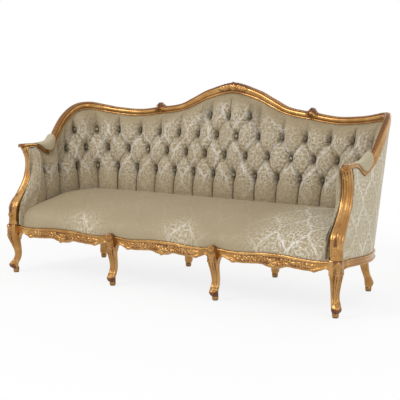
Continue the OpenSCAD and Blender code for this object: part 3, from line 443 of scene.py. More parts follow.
class Material:
    """A new material, with short ways to add nodes to it."""

    def __init__(self, name, **values):
        self.m = bpy.data.materials.new(name)
        self.m.use_nodes = True
        self.tree = self.m.node_tree
        self.bsdf = self.tree.nodes["Principled BSDF"]
        for key, value in values.items():
            self.bsdf.inputs[key.replace("_", " ")].default_value = value

    def node(self, kind, **settings):
        """A new node: what is named in small letters is its property, all else its socket."""
        node = self.tree.nodes.new("ShaderNode" + kind)
        for key, value in settings.items():
            if key.islower():
                setattr(node, key, value)
            else:
                self.join(value, node.inputs[key])
        return node

    def value(self, kind, output, **settings):
        return V(self.tree, self.node(kind, **settings).outputs[output])

    def join(self, value, socket):
        if isinstance(value, V):
            value = value.socket
        if isinstance(value, bpy.types.NodeSocket):
            self.tree.links.new(value, socket)
        else:
            socket.default_value = value

    def coords(self, kind="Object"):
        return self.node("TexCoord").outputs[kind]

    def uv(self):
        """The cloth's own two coordinates, in metres."""
        parts = self.node("SeparateXYZ", Vector=self.coords("UV"))
        return V(self.tree, parts.outputs["X"]), V(self.tree, parts.outputs["Y"])

    def vector(self, x, y):
        return self.node("CombineXYZ", X=x, Y=y).outputs[0]

    def noise(self, scale, vector=None, detail=3.0, roughness=0.5):
        vector = vector or self.coords()
        return self.value("TexNoise", "Fac", Vector=vector, Scale=scale, Detail=detail, Roughness=roughness)

    def cells(self, scale, vector):
        return self.value("TexVoronoi", "Distance", Vector=vector, Scale=scale)

    def attribute(self, name):
        return self.value("Attribute", "Fac", attribute_name=name)

    def blend(self, factor, a, b):
        """Colour a, b or between them; the node's first colour sockets are 6 and 7."""
        node = self.node("Mix", data_type="RGBA")
        for value, k in ((factor, 0), (a, 6), (b, 7)):
            self.join(value, node.inputs[k])
        return node.outputs[2]

    def finish(self, color, bump, strength, distance=0.001, **sockets):
        """Join the colour, a bump with the height given, and other sockets to the shader."""
        node = self.node("Bump", Height=bump, Strength=strength, Distance=distance)
        sockets.update({"Base Color": color, "Normal": node.outputs[0]})
        for key, value in sockets.items():
            self.join(value, self.bsdf.inputs[key])
        return self.m


def rgb(r, g, b):
    """A colour given as it looks on a screen, 0 to 255, for a shader."""
    return (*(((c / 255 + 0.055) / 1.055) ** 2.4 if c > 10 else c / 255 / 12.92 for c in (r, g, b)), 1.0)


def darker(color, share):
    return (*(c * share for c in color[:3]), 1.0)


def gilt_material():
    """Burnished leaf over a red-brown clay ground, which shows through in patches and, with painted shade,
    darkens the recesses; bright on the ridges.
    """
    m = Material("antique_gilt")
    bole = m.attribute("bole")
    cloud = m.noise(14.0, detail=4.0)
    fine = m.noise(160.0, detail=4.0, roughness=0.65)
    # Where the per-point attribute is high, the leaf turns dark red-brown and less metallic: red-brown clay
    # showing through, and painted shade in the recesses. Noise adds patches where the leaf is rubbed through.
    bole_wear_and_shade = (bole + (fine - 0.5) * 0.35 + (cloud - 0.5) * 0.35).soft(0.18, 0.85)
    leaf = m.blend(cloud.soft(0.35, 0.7), rgb(168, 121, 65), rgb(200, 156, 96))
    leaf = m.blend(fine.soft(0.45, 0.95), leaf, rgb(144, 98, 50))
    color = m.blend(bole_wear_and_shade, leaf, m.blend(fine.soft(0.3, 0.7), rgb(120, 68, 34), rgb(82, 48, 24)))
    streak = m.noise(420.0, detail=2.0)
    return m.finish(color, bump=fine * 0.6 + streak * 0.4, strength=0.3, distance=0.0009,
                    Metallic=bole_wear_and_shade.soft(0.0, 1.0, 0.8, 0.3), Roughness=(bole_wear_and_shade * 0.3 + fine * 0.12 + 0.19))


def damask_material(name, ground, pale, ochre, silver, size=1.0):
    """Silk damask: an ogee net of silvery leaves round a scalloped rosette, over fine mottled scrolls; the
    pale mottle and the silver are painted sheen.
    """
    m = Material(name, Sheen_Weight=0.2, Sheen_Roughness=0.4, Specular_IOR_Level=0.3)
    m.bsdf.inputs["Sheen Tint"].default_value = rgb(235, 228, 210)
    width, height = 0.150 * size, 0.260 * size
    ux, uy = m.uv()
    flat = m.vector(ux, uy)
    # Painted sheen: the pattern shows pale and silvery where the per-point attribute says light catches it,
    # broken up by broad noise.
    seen = m.attribute("figure") * m.noise(7.0, flat, detail=1.0).soft(0.3, 0.6, 0.7, 1.0)
    bend = m.noise(38.0, flat, detail=2.0)
    sway = m.noise(36.0, m.vector(ux + 3.1, uy + 1.7), detail=2.0)
    x, y = (ux + (bend - 0.5) * 0.014) / width, (uy + (sway - 0.5) * 0.014) / height
    wave = (y * (2 * pi)).op("COSINE") * 0.25
    one = ((x - wave + 0.5).op("FRACT") - 0.5).op("ABSOLUTE")
    two = ((x + wave).op("FRACT") - 0.5).op("ABSOLUTE")
    leafy = m.cells(75.0, flat)
    net = (one.op("MINIMUM", two) * width + (leafy - 0.42) * 0.014).soft(0.007, 0.0135, 1.0, 0.0)
    rings = []
    for dx, dy in ((-0.25, 0.5), (0.25, 0.0)):
        u = ((x + dx).op("FRACT") - 0.5) * width
        v = ((y + dy).op("FRACT") - 0.5) * height
        r = (u * u + v * v * 0.5).op("SQRT")
        angle = v.op("ARCTAN2", u)
        scallop = (angle * 5.0).op("COSINE").op("ABSOLUTE") * 0.008
        for radius, wide in ((0.046, 0.0035), (0.028, 0.003), (0.012, 0.003)):
            rings.append((r - scallop - radius * size).op("ABSOLUTE").soft(wide * 0.4, wide, 1.0, 0.0))
        rays = (angle * 10.0).op("COSINE").soft(0.5, 0.9)
        rings.append(rays * r.soft(0.04 * size, 0.05 * size, 0.7, 0.0))
    rosette = highest(*rings)
    scrolls = (m.noise(44.0, flat, detail=1.0) * 44.0).op("SINE").soft(0.35, 0.85)
    scrolls = scrolls * rosette.soft(0.1, 0.5, 1.0, 0.0)
    mottle = m.noise(80.0, flat, detail=3.0, roughness=0.6)
    cloud = m.noise(5.0, flat, detail=2.0)
    slub = m.noise(90.0, m.vector(ux * 0.15, uy), detail=3.0)
    base = m.blend(cloud.soft(0.3, 0.7), ground, darker(ground, 0.93))
    base = m.blend(slub.soft(0.2, 0.9, 0.0, 0.3), base, darker(ground, 0.84))
    figure = highest(net * 0.85, rosette * 0.75, scrolls * 0.22)
    broken = figure * mottle.soft(0.34, 0.56, 0.35, 1.0)
    color = m.blend(seen * 0.9, base, m.blend(mottle.soft(0.4, 0.6), ochre, pale))
    color = m.blend(broken * seen * seen, color, silver)
    # Painted shade: the cloth darkens towards a dark brown where the per-point attribute is high, in pleats,
    # folds and button pits.
    color = m.blend(m.attribute("bole"), color, rgb(58, 47, 27))
    warp, weft = (ux * 4200.0).op("SINE"), (uy * 3600.0).op("SINE")
    weave = (warp * weft * 0.5 + 0.5) * (1.0 - figure * 0.6)
    return m.finish(color, bump=weave * 0.25 + figure * 0.7 + slub * 0.3, strength=0.35, distance=0.0006,
                    Roughness=figure.soft(0.0, 1.0, 0.62, 0.38))


def beech_material():
    m = Material("raw_beech", Roughness=0.6)
    place = m.node("Mapping", Vector=m.coords(), Scale=(9.0, 60.0, 60.0)).outputs[0]
    grain = m.noise(3.0, place, detail=5.0, roughness=0.6)
    fleck = m.cells(90.0, place)
    color = m.blend(grain.soft(0.3, 0.7), rgb(205, 168, 122), rgb(172, 128, 84))
    color = m.blend(fleck.soft(0.05, 0.2, 0.35, 0.0), color, rgb(140, 98, 60))
    return m.finish(color, bump=grain, strength=0.2, distance=0.0006)


def woven_material(name, dark, light, threads):
    """Plain woven cloth whose threads run along x and y."""
    m = Material(name, Roughness=0.85, Sheen_Weight=0.1)
    x, y = m.uv()
    weave = (x * threads).op("SINE") * (y * threads).op("SINE") * 0.5 + 0.5
    slub = m.noise(60.0, detail=4.0)
    color = m.blend((weave * 0.6 + slub * 0.4).soft(0.2, 0.8), dark, light)
    return m.finish(color, bump=weave * 0.7 + slub * 0.3, strength=0.5, distance=0.0006)


def felt_material():
    m = Material("felt", Roughness=0.95, Sheen_Weight=0.3)
    hairs = m.noise(900.0, detail=4.0, roughness=0.7)
    color = m.blend(hairs.soft(0.3, 0.7), rgb(88, 80, 70), rgb(122, 112, 98))
    return m.finish(color, bump=hairs, strength=0.5)


def steel_material():
    m = Material("zinc_steel", Metallic=1.0)
    fine = m.noise(700.0, detail=3.0)
    return m.finish(m.blend(fine, rgb(170, 172, 174), rgb(205, 206, 208)), bump=fine, strength=0.1,
                    Roughness=fine * 0.25 + 0.25)


GILT = gilt_material()
# One damask in three copies: the seat's is drawn larger, with brighter pale and silver for its painted sheen,
# and the outside covers, pads and braid get a paler copy as painted light.
DAMASK = damask_material(
    "silk_damask", rgb(166, 149, 118), rgb(180, 165, 135), rgb(144, 126, 92), rgb(212, 206, 194))
SEAT_DAMASK = damask_material(
    "seat_damask", rgb(168, 152, 122), rgb(190, 177, 148), rgb(158, 140, 104), rgb(232, 227, 216), 1.15)
PALE_DAMASK = damask_material(
    "outside_lit_damask", rgb(192, 178, 148), rgb(203, 191, 163), rgb(182, 165, 130), rgb(230, 224, 207))
BEECH = beech_material()
JUTE = woven_material("jute_strap", rgb(120, 88, 50), rgb(186, 150, 98), 1400.0)
HESSIAN = woven_material("hessian_cloth", rgb(110, 84, 52), rgb(176, 144, 100), 1800.0)
DUST = woven_material("black_cambric", rgb(30, 30, 32), rgb(62, 62, 64), 2600.0)
FELT = felt_material()
STEEL = steel_material()

# Show wood
# Moulding outline: inwards and upwards as shares, then how much of it is pearl bead
PROFILE = [
    (0.55, -1.0, 0), (0.78, -0.95, 0), (0.9, -0.8, 0), (0.86, -0.64, 0), (0.74, -0.56, 0), (0.84, -0.4, 0),
    (0.97, -0.12, 0), (1.0, 0.12, 0), (0.95, 0.36, 0), (0.83, 0.55, 0), (0.73, 0.58, 0), (0.78, 0.7, 0.8),
    (0.68, 0.9, 1), (0.48, 0.99, 0.8), (0.3, 0.9, 0), (0.05, 0.97, 0), (-0.4, 0.98, 0), (-0.66, 0.93, 0),
    (-0.8, 0.99, 0), (-0.94, 0.93, 0), (-1.0, 0.72, 0), (-1.0, 0.3, 0), (-1.0, -0.3, 0), (-1.0, -0.8, 0),
    (-0.88, -1.0, 0), (-0.3, -1.0, 0), (0.15, -1.0, 0),
]
GROOVES = [(0.74, -0.56), (0.73, 0.58), (0.3, 0.9)]
# How far apart the ridges of the carving stand, in metres, and the reeds of a leg and of an arm, in radians
ROPE_PITCH, FLUTE_PITCH, RIDGE_PITCH, RIB_PITCH, PIP_PITCH = 0.0105, 0.0115, 0.018, 0.013, 0.014
LEG_REED, ARM_REED = 0.5, 0.58


def moulding(name, node, t0, t1, side):
    """One length of the crest, wing or arm moulding with its beads and carving."""
    line = outline(PROFILE, 76)
    out = normals_2d(line)
    t, s = by_length(TOP, t0, t1, 0.0035)
    a, s = abs(t)[:, None], s[:, None]
    front, up, pearl = line.T[:, None]
    tall_half = half_h(a)
    around = walked(concatenate([line[-1:, :2], line[:, :2]]))[None, 1:] * HALF_D
    rope = sin(2 * pi * (s / ROPE_PITCH + around / 0.02))
    lift = 0.0010 * pearl * rope
    # Red-brown clay with painted shade in the grooves and between the pearls. Below, the same is done in the
    # flutes, round the carved cartouche and scrolls, and between the ribs of the tip leaf.
    bole = sum(bell(np.hypot(front - across, up - height), 0.12) for across, height in GROOVES)
    bole = (bole + pearl * (0.55 - 0.3 * rope)) * (1 - 0.45 * smooth(WING_FOOT, 12.2, a))
    # slanting flutes along the top, deeper down the wings, inside a plain outer lip
    wing = smooth(7.2, 8.0, a) * smooth(11.7, 11.2, a)
    flat = smooth(0.7, 0.9, up) * smooth(0.36, 0.1, front) * smooth(-0.74, -0.62, front)
    twist = sin(2 * pi * (s / FLUTE_PITCH + front * 0.8))
    lift = lift + flat * (0.0009 + 0.0006 * wing) * twist
    bole = bole + flat * (0.66 - 0.34 * twist) * smooth(12.2, WING_FOOT, a)
    if t0 * t1 < 0:
        # cartouche in the middle of the crest, its flower with a leaf to each side
        across = (up - 0.15) * tall_half
        flower = flower_height(s / 0.024, across / 0.02, 7)
        leaves = leaf_height((abs(s) - 0.016) / 0.085, across / 0.017)
        tall = maximum(flower * 0.0075, leaves * 0.0055) * smooth(-0.5, 0.2, front)
        flute = cos(2 * pi * s / RIDGE_PITCH)
        ridge = 0.005 * bell(s, 0.06) * smooth(0.2, 0.9, up) * (0.75 + 0.25 * flute)
        lift = lift + tall + ridge
        near = np.exp(-(s / 0.1) ** 4)
        bole = bole + near * smooth(-0.3, 0.3, front) * (0.5 - 60 * tall) + 18 * ridge * (flute < 0)
    # leaf scrolls where the lengths of the crest meet
    leaf_at = interp(CREST_JOINT, *by_length(TOP, 0, LAST, 0.002))
    past = abs(s) - leaf_at
    roll = bell(past + 0.006 * up, 0.019)
    curl = leaf_height((past + 0.035 + 0.012 * up) / 0.075, up - 0.1)
    lift = lift + roll * smooth(0.1, 0.9, up + 0.4 * front) * 0.025 + curl * smooth(-0.2, 0.4, front) * 0.005
    bole = bole + bell(past, 0.035) * smooth(0.0, 0.5, front + up) * (0.44 - 0.18 * curl)
    # carved leaf at the tip of the arm
    tip = smooth(15.7, 16.5, a) * smooth(-0.6, 0.1, up + 0.4)
    rib = sin(2 * pi * around / RIB_PITCH + 18 * (a - STUMP_AT))
    lift = lift + tip * 0.0012 * rib
    bole = bole + tip * (0.4 - 0.35 * rib)
    scale = table(a, [(16.5, 1), (LAST, 0.7)])
    full = 1 + 0.45 * smooth(6.0, 8.2, a) * smooth(WING_FOOT, 10.9, a)
    u = front * HALF_D * scale + out[:, 0] * lift
    v = up * np.where(up > 0, tall_half * full * scale, half_low(a)) + out[:, 1] * lift
    piece = Piece(side).add(spot(t[:, None], u, v), joined(s, around), clip(bole, 0, 1), flip=True)
    piece.build(name, GILT, "gilt_wood", node)


def build_mouldings():
    moulding("crest_middle", "crest_rail_centre", -CREST_JOINT, CREST_JOINT, 1)
    for side, word in SIDES:
        moulding(f"crest_{word}", f"crest_rail_{word}", CREST_JOINT, SHOULDER, side)
        moulding(f"wing_{word}", f"wing_rail_{word}", SHOULDER, WING_FOOT, side)
        moulding(f"arm_{word}", f"arm_rail_{word}", WING_FOOT, LAST, side)


# Seat rail outlines: depth into the rail and height as shares, from the lower back edge round the face
RAIL_PROFILE = [
    (1.0, -1.0), (0.55, -1.0), (0.16, -0.99), (0.04, -0.95), (0.0, -0.86), (0.03, -0.77), (0.12, -0.72),
    (0.16, -0.64), (0.15, -0.5), (0.13, -0.38), (0.1, -0.28), (0.03, -0.22), (0.0, -0.14), (0.03, -0.05),
    (0.12, -0.01), (0.5, 0.0), (1.0, 0.0), (1.0, -0.5),
]
# Lower edge of a front rail from its middle to its ends, where it sweeps down the legs
APRON_SHARES = array([
    (0, 1.25), (0.1, 1.2), (0.2, 1.02), (0.4, 1), (0.6, 0.98), (0.8, 0.84), (0.89, 0.69), (0.93, 0.73),
    (0.96, 0.86), (0.985, 1.1), (1, 1.42),
])
# Rise and fall of a front rail's top edge, from its middle to its ends
WAVE_SHARES = [(0, 0.06), (0.2, 0.04), (0.4, -0.08), (0.6, -0.17), (0.8, -0.15), (0.93, -0.02), (1, 0.08)]


def rail_wave(x):
    """Height of the front rails' wavy top edge over the straight one, at a place across the front."""
    inner, x = INNER_SPAN / 2, abs(x)
    w = np.where(x < inner, x / inner, abs((x - inner) / (HALF_W - inner) * 2 - 1))
    step = np.floor(w * 8)
    low, high = (table(k / 8, WAVE_SHARES) for k in (step, step + 1))
    return FRONT_RAIL_H * mix(low, high, smooth(0, 1, w * 8 % 1))


def front_rail(name, node, xa, xb, side):
    """A front rail: bead above and below, and a carved flower and leaves along a hollow face."""
    d, h = outline(RAIL_PROFILE, 64).T[:, None]
    k = linspace(-1, 1, 200)
    x = mix(xa, xb, (0.5 * sin(k * pi / 2) + 0.5 * k + 1) / 2)[:, None]
    half, from_middle = (xb - xa) / 2, x - (xa + xb) / 2
    w = abs(from_middle) / half
    place = interp(w, APRON_SHARES[:, 0], np.arange(len(APRON_SHARES)))
    low = 1.1 * FRONT_RAIL_H * spline(APRON_SHARES, place)[..., 1]
    face = smooth(0.45, 0.2, d)
    mid = smooth(0.5, 0.16, abs(h + 0.55)) * face
    flower = flower_height(from_middle / 0.03, (h + 0.66) * low / 0.026, 5)
    bent = (h + 0.52) * 2.1 + 0.25 * sin(from_middle * 40)
    shell = leaf_height((abs(from_middle) - 0.02) / (0.5 * half), bent)
    spray = leaf_height((abs(from_middle) - 0.02 - 0.3 * half) / (0.42 * half), (h + 0.5) * 2.6)
    scroll = bell(w - 0.72, 0.045) * smooth(-0.6, -0.95, h)
    lift = flower * 0.011 * face + maximum(shell, spray) * 0.0065 * mid + scroll * 0.006
    carved = smooth(0.78, 0.55, w) * mid
    pip = sin(from_middle * 2 * pi / PIP_PITCH + 2 * sin(h * 9)) * sin(h * 13 + 1 + 2 * sin(from_middle * 90))
    lift = lift + carved * 0.0022 * pip
    # Red-brown clay with painted shade in the carving's recesses and in the grooves along the beads.
    bole = carved * clip(0.62 - 70 * lift - 0.3 * pip, 0, 1)
    bole = bole + 0.4 * (bell(h + 0.27, 0.04) * face + bell(h + 0.74, 0.04) * face)
    deep = RAIL_FACE + d * RAIL_T
    z = frame_z(deep) + h * low - lift * smooth(-0.8, -1.0, h) + rail_wave(x) * smooth(0.62, 0.5, d)
    piece = Piece(side).add(joined(x, deep - lift, z), joined(x, h * 0.05), clip(bole, 0, 1), flip=True)
    piece.build(name, GILT, "gilt_wood", node)


def side_rail(name, node, t0, t1, side, step):
    """A side or back rail: a flat between two beads, falling into the knee."""
    d, h = outline(RAIL_PROFILE, 48).T[:, None]
    t, s = by_length(RAIL, t0, t1, step)
    way = inward(RAIL, t)
    way[abs(t) > LAST - 0.02] = (-1, 0, 0)
    q = on_line(RAIL, t)[:, None] + (d * RAIL_T)[..., None] * way[:, None]
    q[..., 2] = frame_z(q[..., 1]) - knee_fall(t)[:, None] + h * SIDE_RAIL_H
    # Red-brown clay with painted shade in the grooves along the beads.
    bole = 0.55 * (bell(h + 0.27, 0.06) + bell(h + 0.74, 0.06)) * smooth(0.45, 0.2, d)
    Piece(side).add(q, joined(s[:, None], h * 0.04), bole).build(name, GILT, "gilt_wood", node)


def build_rails():
    inner, knee = INNER_SPAN / 2, INNER_KNEE_W / 2
    front_rail("front_apron_middle", "front_rail_centre", knee - inner, inner - knee, 1)
    for side, word in SIDES:
        front_rail(f"front_apron_{word}", f"front_rail_{word}", inner + knee, HALF_W - KNEE_W / 2, side)
        side_rail(f"side_apron_{word}", f"side_rail_{word}", RAIL_JOINT, LAST, side, 0.006)
    side_rail("back_apron", "back_rail", -RAIL_JOINT, RAIL_JOINT, 1, 0.02)


# Front leg from the toe to the knee: height, swing, width and squareness as shares
LEG_SHARES = [
    (0.085, 0.2, -0.2, 1), (0.12, 0.55, 0.35, 1.05), (0.165, 0.7, 0.5, 1.08), (0.21, 0.3, 0.4, 1.05),
    (0.28, -0.55, 0.1, 1.02), (0.38, -1, 0, 1.02), (0.5, -0.8, 0.3, 1.05), (0.62, -0.3, 0.7, 1.12),
    (0.7, 0, 0.93, 1.25), (0.77, 0, 0.97, 1.3),
]


def ring_section(c, w, q, angles):
    """Rounded square rings round centres c, of widths w and squareness q."""
    return c[:, None] + joined(*(clip(q * f(angles), -1, 1) * w / 2 for f in (cos, sin)), 0)


def apart(angles, middle):
    """How far each angle lies from the middle one, from -pi to pi."""
    return (angles - middle + pi) % (2 * pi) - pi


def leg_line(s, foot, head, way, h):
    """Points up the middle of a front leg from rows of its shares."""
    rise = s[:, 0] / LEG_SHARES[-1][0]
    x, y = (mix(foot[k], head[k], rise) + way[k] * LEG_SWING * s[:, 1] for k in (0, 1))
    return joined(x, y, s[:, 0] * h)


def front_leg(foot, head, way, w, h, side):
    """A front leg: scrolled toe, reeded shank, carved knee and the block that takes the rails."""
    piece = Piece(side)
    s = spline(LEG_SHARES, linspace(0, len(LEG_SHARES) - 1, 110))
    c = leg_line(s, foot, head, way, h)
    high = s[:, 0:1]
    ang, faces = turn(72)[None], math.atan2(way[1], way[0])
    off, radial = apart(ang, faces), joined(cos(ang), sin(ang), 0)
    shank = smooth(0.2, 0.27, high) * smooth(0.78, 0.7, high)
    panel = smooth(1.15, 1.0, abs(off))
    reeds = cos(off * 2 * pi / LEG_REED)
    curl = leaf_height((0.235 - high) / 0.14, off / 0.95)
    knee = leaf_height((0.80 - high) / 0.34, off / 0.75)
    lift = shank * (panel * (0.0015 * reeds - 0.0012) + 0.0022 * bell(abs(off) - 1.12, 0.12))
    lift = lift + curl * 0.0022 * smooth(0.23, 0.2, high) + 0.0012 * bell(high - 0.232, 0.008)
    lift = lift + knee * 0.005 * smooth(0.45, 0.6, high)
    # Red-brown clay with painted shade between the reeds and on the knee round its leaf. The toes are
    # red-brown clay.
    bole = shank * panel * 0.7 * (0.5 - 0.5 * reeds) ** 3
    bole = bole + smooth(0.22, 0.15, high) * (0.95 - 0.4 * curl) * smooth(2.4, 1.4, abs(off))
    bole = bole + smooth(0.55, 0.68, high) * smooth(1.1, 0.7, abs(off)) * 0.55 * (1 - knee)
    p = ring_section(c, mix(ANKLE_W, w, s[:, 2:3]), s[:, 3:4], ang) + lift[..., None] * radial
    piece.add(p, joined(ang * 0.02, c[:, 2:3]), clip(bole, 0, 1))
    # block, rounded at its corners, with a leaf falling from its top
    z = linspace(0.735 * h, h, 34)
    share = (z / h)[:, None]
    leaf = leaf_height((1.0 - share) / 0.3, off / 0.62)
    arch = bell(share - 0.955 + 0.09 * (off / 0.8) ** 2, 0.018) * smooth(1.0, 0.85, abs(off))
    curls = sin(off * 15) * sin(share * 115 + 2 * sin(off * 5))
    lift = (leaf * (0.004 + 0.0014 * curls) + arch * 0.003) * smooth(1.3, 0.9, abs(off))
    # Red-brown clay with painted shade round the block's leaf, arch and curls, and a dark joint along its
    # top.
    bole = smooth(1.1, 0.8, abs(off)) * (0.6 - 0.5 * leaf - 0.6 * arch - 0.25 * curls)
    bole = clip(bole + 0.4 * bell(share - 0.985, 0.008), 0, 1)
    wide = w * (0.90 + 0.10 * smooth(h, h - 0.006, z))[:, None]
    p = ring_section(joined(head[0], head[1], z), wide, 1.42, ang) + lift[..., None] * radial
    piece.add(p, None, bole)
    peg(piece, foot)
    # beads down both edges of the knee and the shank
    s = spline(LEG_SHARES, linspace(8.2, 3.4, 50))
    reach = 1.05 * mix(ANKLE_W, w, s[:, 2:3]) / 2
    for a in (faces - 1.05, faces + 1.05):
        path = leg_line(s, foot, head, way, h) + reach * [cos(a), sin(a), 0]
        tube(piece, path, linspace(0.0032, 0.0022, 50))
    return piece


def peg(piece, foot):
    """The turned peg under a leg."""
    z = array([GLIDE_H, GLIDE_H + 0.0015, GLIDE_H + 0.004, GLIDE_H + PEG_H])[:, None]
    r = PEG_D / 2 * array([0.9, 0.97, 1.0, 1.0])[:, None]
    a = turn(40)
    piece.add(joined(foot[0] + r * cos(a), foot[1] + r * sin(a), z), None, 0.42)


def build_front_legs():
    corner_way, inner_h = (1 / math.sqrt(2), -1 / math.sqrt(2)), frame_z(BLOCK_SET + INNER_KNEE_W / 2)
    inner_foot, inner_head = (INNER_SPAN / 2 + FOOT_OUT, INNER_FOOT_Y), (INNER_SPAN / 2, BLOCK_SET + 0.005)
    for side, word in SIDES:
        leg = front_leg((HALF_W - FOOT_IN, 0), (HALF_W, BLOCK_SET), corner_way, KNEE_W, BLOCK_H, side)
        leg.build(f"corner_leg_{word}", GILT, "gilt_wood", f"front_leg_{word}")
        leg = front_leg(inner_foot, inner_head, (0, -1), INNER_KNEE_W, inner_h, side)
        knee_shell(leg, inner_head)
        leg.build(f"middle_leg_{word}", GILT, "gilt_wood", f"front_leg_inner_{word}")


def knee_shell(piece, head):
    """Fluted shell that stands up from an inner knee in front of the seat."""
    radius = INNER_KNEE_W * 0.45
    centre = RAIL_TOP + SHELL_RISE - radius
    a, r = turn(96)[None], linspace(0.02, 1, 16)[:, None]
    fan = 0.5 + 0.5 * cos(a * 14)
    dome = np.sqrt(clip(1 - r**2, 0, 1)) * 0.006
    dome = dome + 0.0025 * fan * smooth(0.1, 0.6, r) * smooth(1.02, 0.9, r)
    y = BLOCK_SET - INNER_KNEE_W / 2 - 0.002
    front = joined(head[0] + radius * r * sin(a), y + 0.003 - dome, centre + radius * r * cos(a))
    rim = front[-1:] * [1, 0, 1]
    # Red-brown clay with painted shade between the flutes of the shell.
    bole = concatenate([0.8 * (1 - fan) * smooth(0.1, 0.5, r), np.full((2, 96), 0.4)])
    piece.add(concatenate([front, rim + [0, y + 0.004, 0], rim - [0, GAP, 0]]), None, bole)


# Rear leg from the foot to the rail: height, splay, width and squareness as shares
REAR_SHARES = [
    (0.11, 0.98, 0.8, 1), (0.16, 1.08, 0.98, 1.05), (0.23, 1.1, 1.03, 1.08), (0.32, 0.92, 0.95, 1.05),
    (0.45, 0.56, 0.9, 1.05), (0.62, 0.22, 0.95, 1.1), (0.8, 0.04, 1.02, 1.12), (1, 0, 1.04, 1.08),
]


def rear_leg(name, node, t, splay, side):
    """A plain splayed rear leg with softened corners and a raised band down its outer face."""
    n = inward(RAIL, t)
    head = on_line(RAIL, t) + REAR_SET * n
    s = spline(REAR_SHARES, linspace(0, 7, 80))
    high, ang = s[:, 0:1], turn(56)[None]
    p = ring_section(head - splay * s[:, 1:2] * n, REAR_LEG_W * s[:, 2:3], s[:, 3:4], ang)
    lift = 0.0012 * bell(apart(ang, math.atan2(-n[1], -n[0])), 0.35) * smooth(0.2, 0.35, high)
    p = p + lift[..., None] * joined(cos(ang), sin(ang), 0)
    p[..., 2] = high * (frame_z(p[..., 1]) - SIDE_RAIL_H)
    piece = Piece(side).add(p, None, 0.3 * smooth(0.2, 0.12, high))
    peg(piece, head - splay * n)
    piece.build(name, GILT, "gilt_wood", node)


def build_rear_legs():
    at = np.arange(0, 6.1, 0.25)
    inner_at = float(interp(REAR_INNER_SPAN / 2, on_line(RAIL, at)[:, 0], at))
    for side, word in SIDES:
        rear_leg(f"back_leg_{word}", f"rear_leg_{word}", REAR_LEG_AT, REAR_SPLAY, side)
        rear_leg(f"back_leg_middle_{word}", f"rear_leg_inner_{word}", inner_at, REAR_SPLAY * 0.76, side)


# Arm support from the block to the arm: height, sweep, width and depth as shares
STUMP_SHARES = [
    (0, 0, 1.14, 1.3), (0.086, 0, 1.1, 1.22), (0.175, 0.02, 1.12, 1.25), (0.25, 0.11, 1.2, 1.3),
    (0.39, 0.47, 1.1, 1.05), (0.56, 0.84, 1.02, 0.98), (0.747, 1, 1, 0.95), (0.896, 0.94, 0.97, 0.95),
    (1, 0.78, 0.97, 1),
]
STUMP_X, _, STUMP_TOP = on_line(TOP, STUMP_AT) - [0, 0, ARM_T / 2 + GAP]
STUMP_LINE = array([
    (mix(HALF_W, STUMP_X, a) - b * STUMP_LEAN, BLOCK_SET + b * STUMP_SWEEP, mix(BLOCK_H, STUMP_TOP, a))
    for a, b, _, _ in STUMP_SHARES])


def stump_rings(count, angles):
    """Rings of the arm support, the way that each of their points faces, and their centres."""
    t = linspace(0, 8, count)
    s, c = spline(STUMP_SHARES, t), spline(STUMP_LINE, t)
    d = spline(STUMP_LINE, minimum(t + 0.01, 8)) - spline(STUMP_LINE, maximum(t - 0.01, 0))
    along = unit(joined(0, d[:, 2], -d[:, 1]))
    along[[0, -1]] = (0, 1, 0)
    u, v = clip(1.08 * cos(angles), -1, 1), clip(1.08 * sin(angles), -1, 1)
    wide, deep = STUMP_W / 2 * s[:, 2:3], STUMP_D / 2 * s[:, 3:4]
    x, along = array([1.0, 0, 0]), along[:, None]
    p = c[:, None] + (u * wide)[..., None] * x + (v * deep)[..., None] * along
    return p, cos(angles)[..., None] * x + sin(angles)[..., None] * along, c


CORNERS, _, _ = stump_rings(17, np.radians([0, 90, 180, 270])[None])


def stump_at(z, corner, axis):
    """How far the arm support reaches at a height: its inner side, back or front."""
    return interp(z, CORNERS[:, corner, 2], CORNERS[:, corner, axis])


def stump_near(z, corner, axis, pick):
    """The same, at its furthest over the heights about this one."""
    return pick([stump_at(z + 0.75 * k * ROW, corner, axis) for k in (-1, 0, 1)], axis=0)


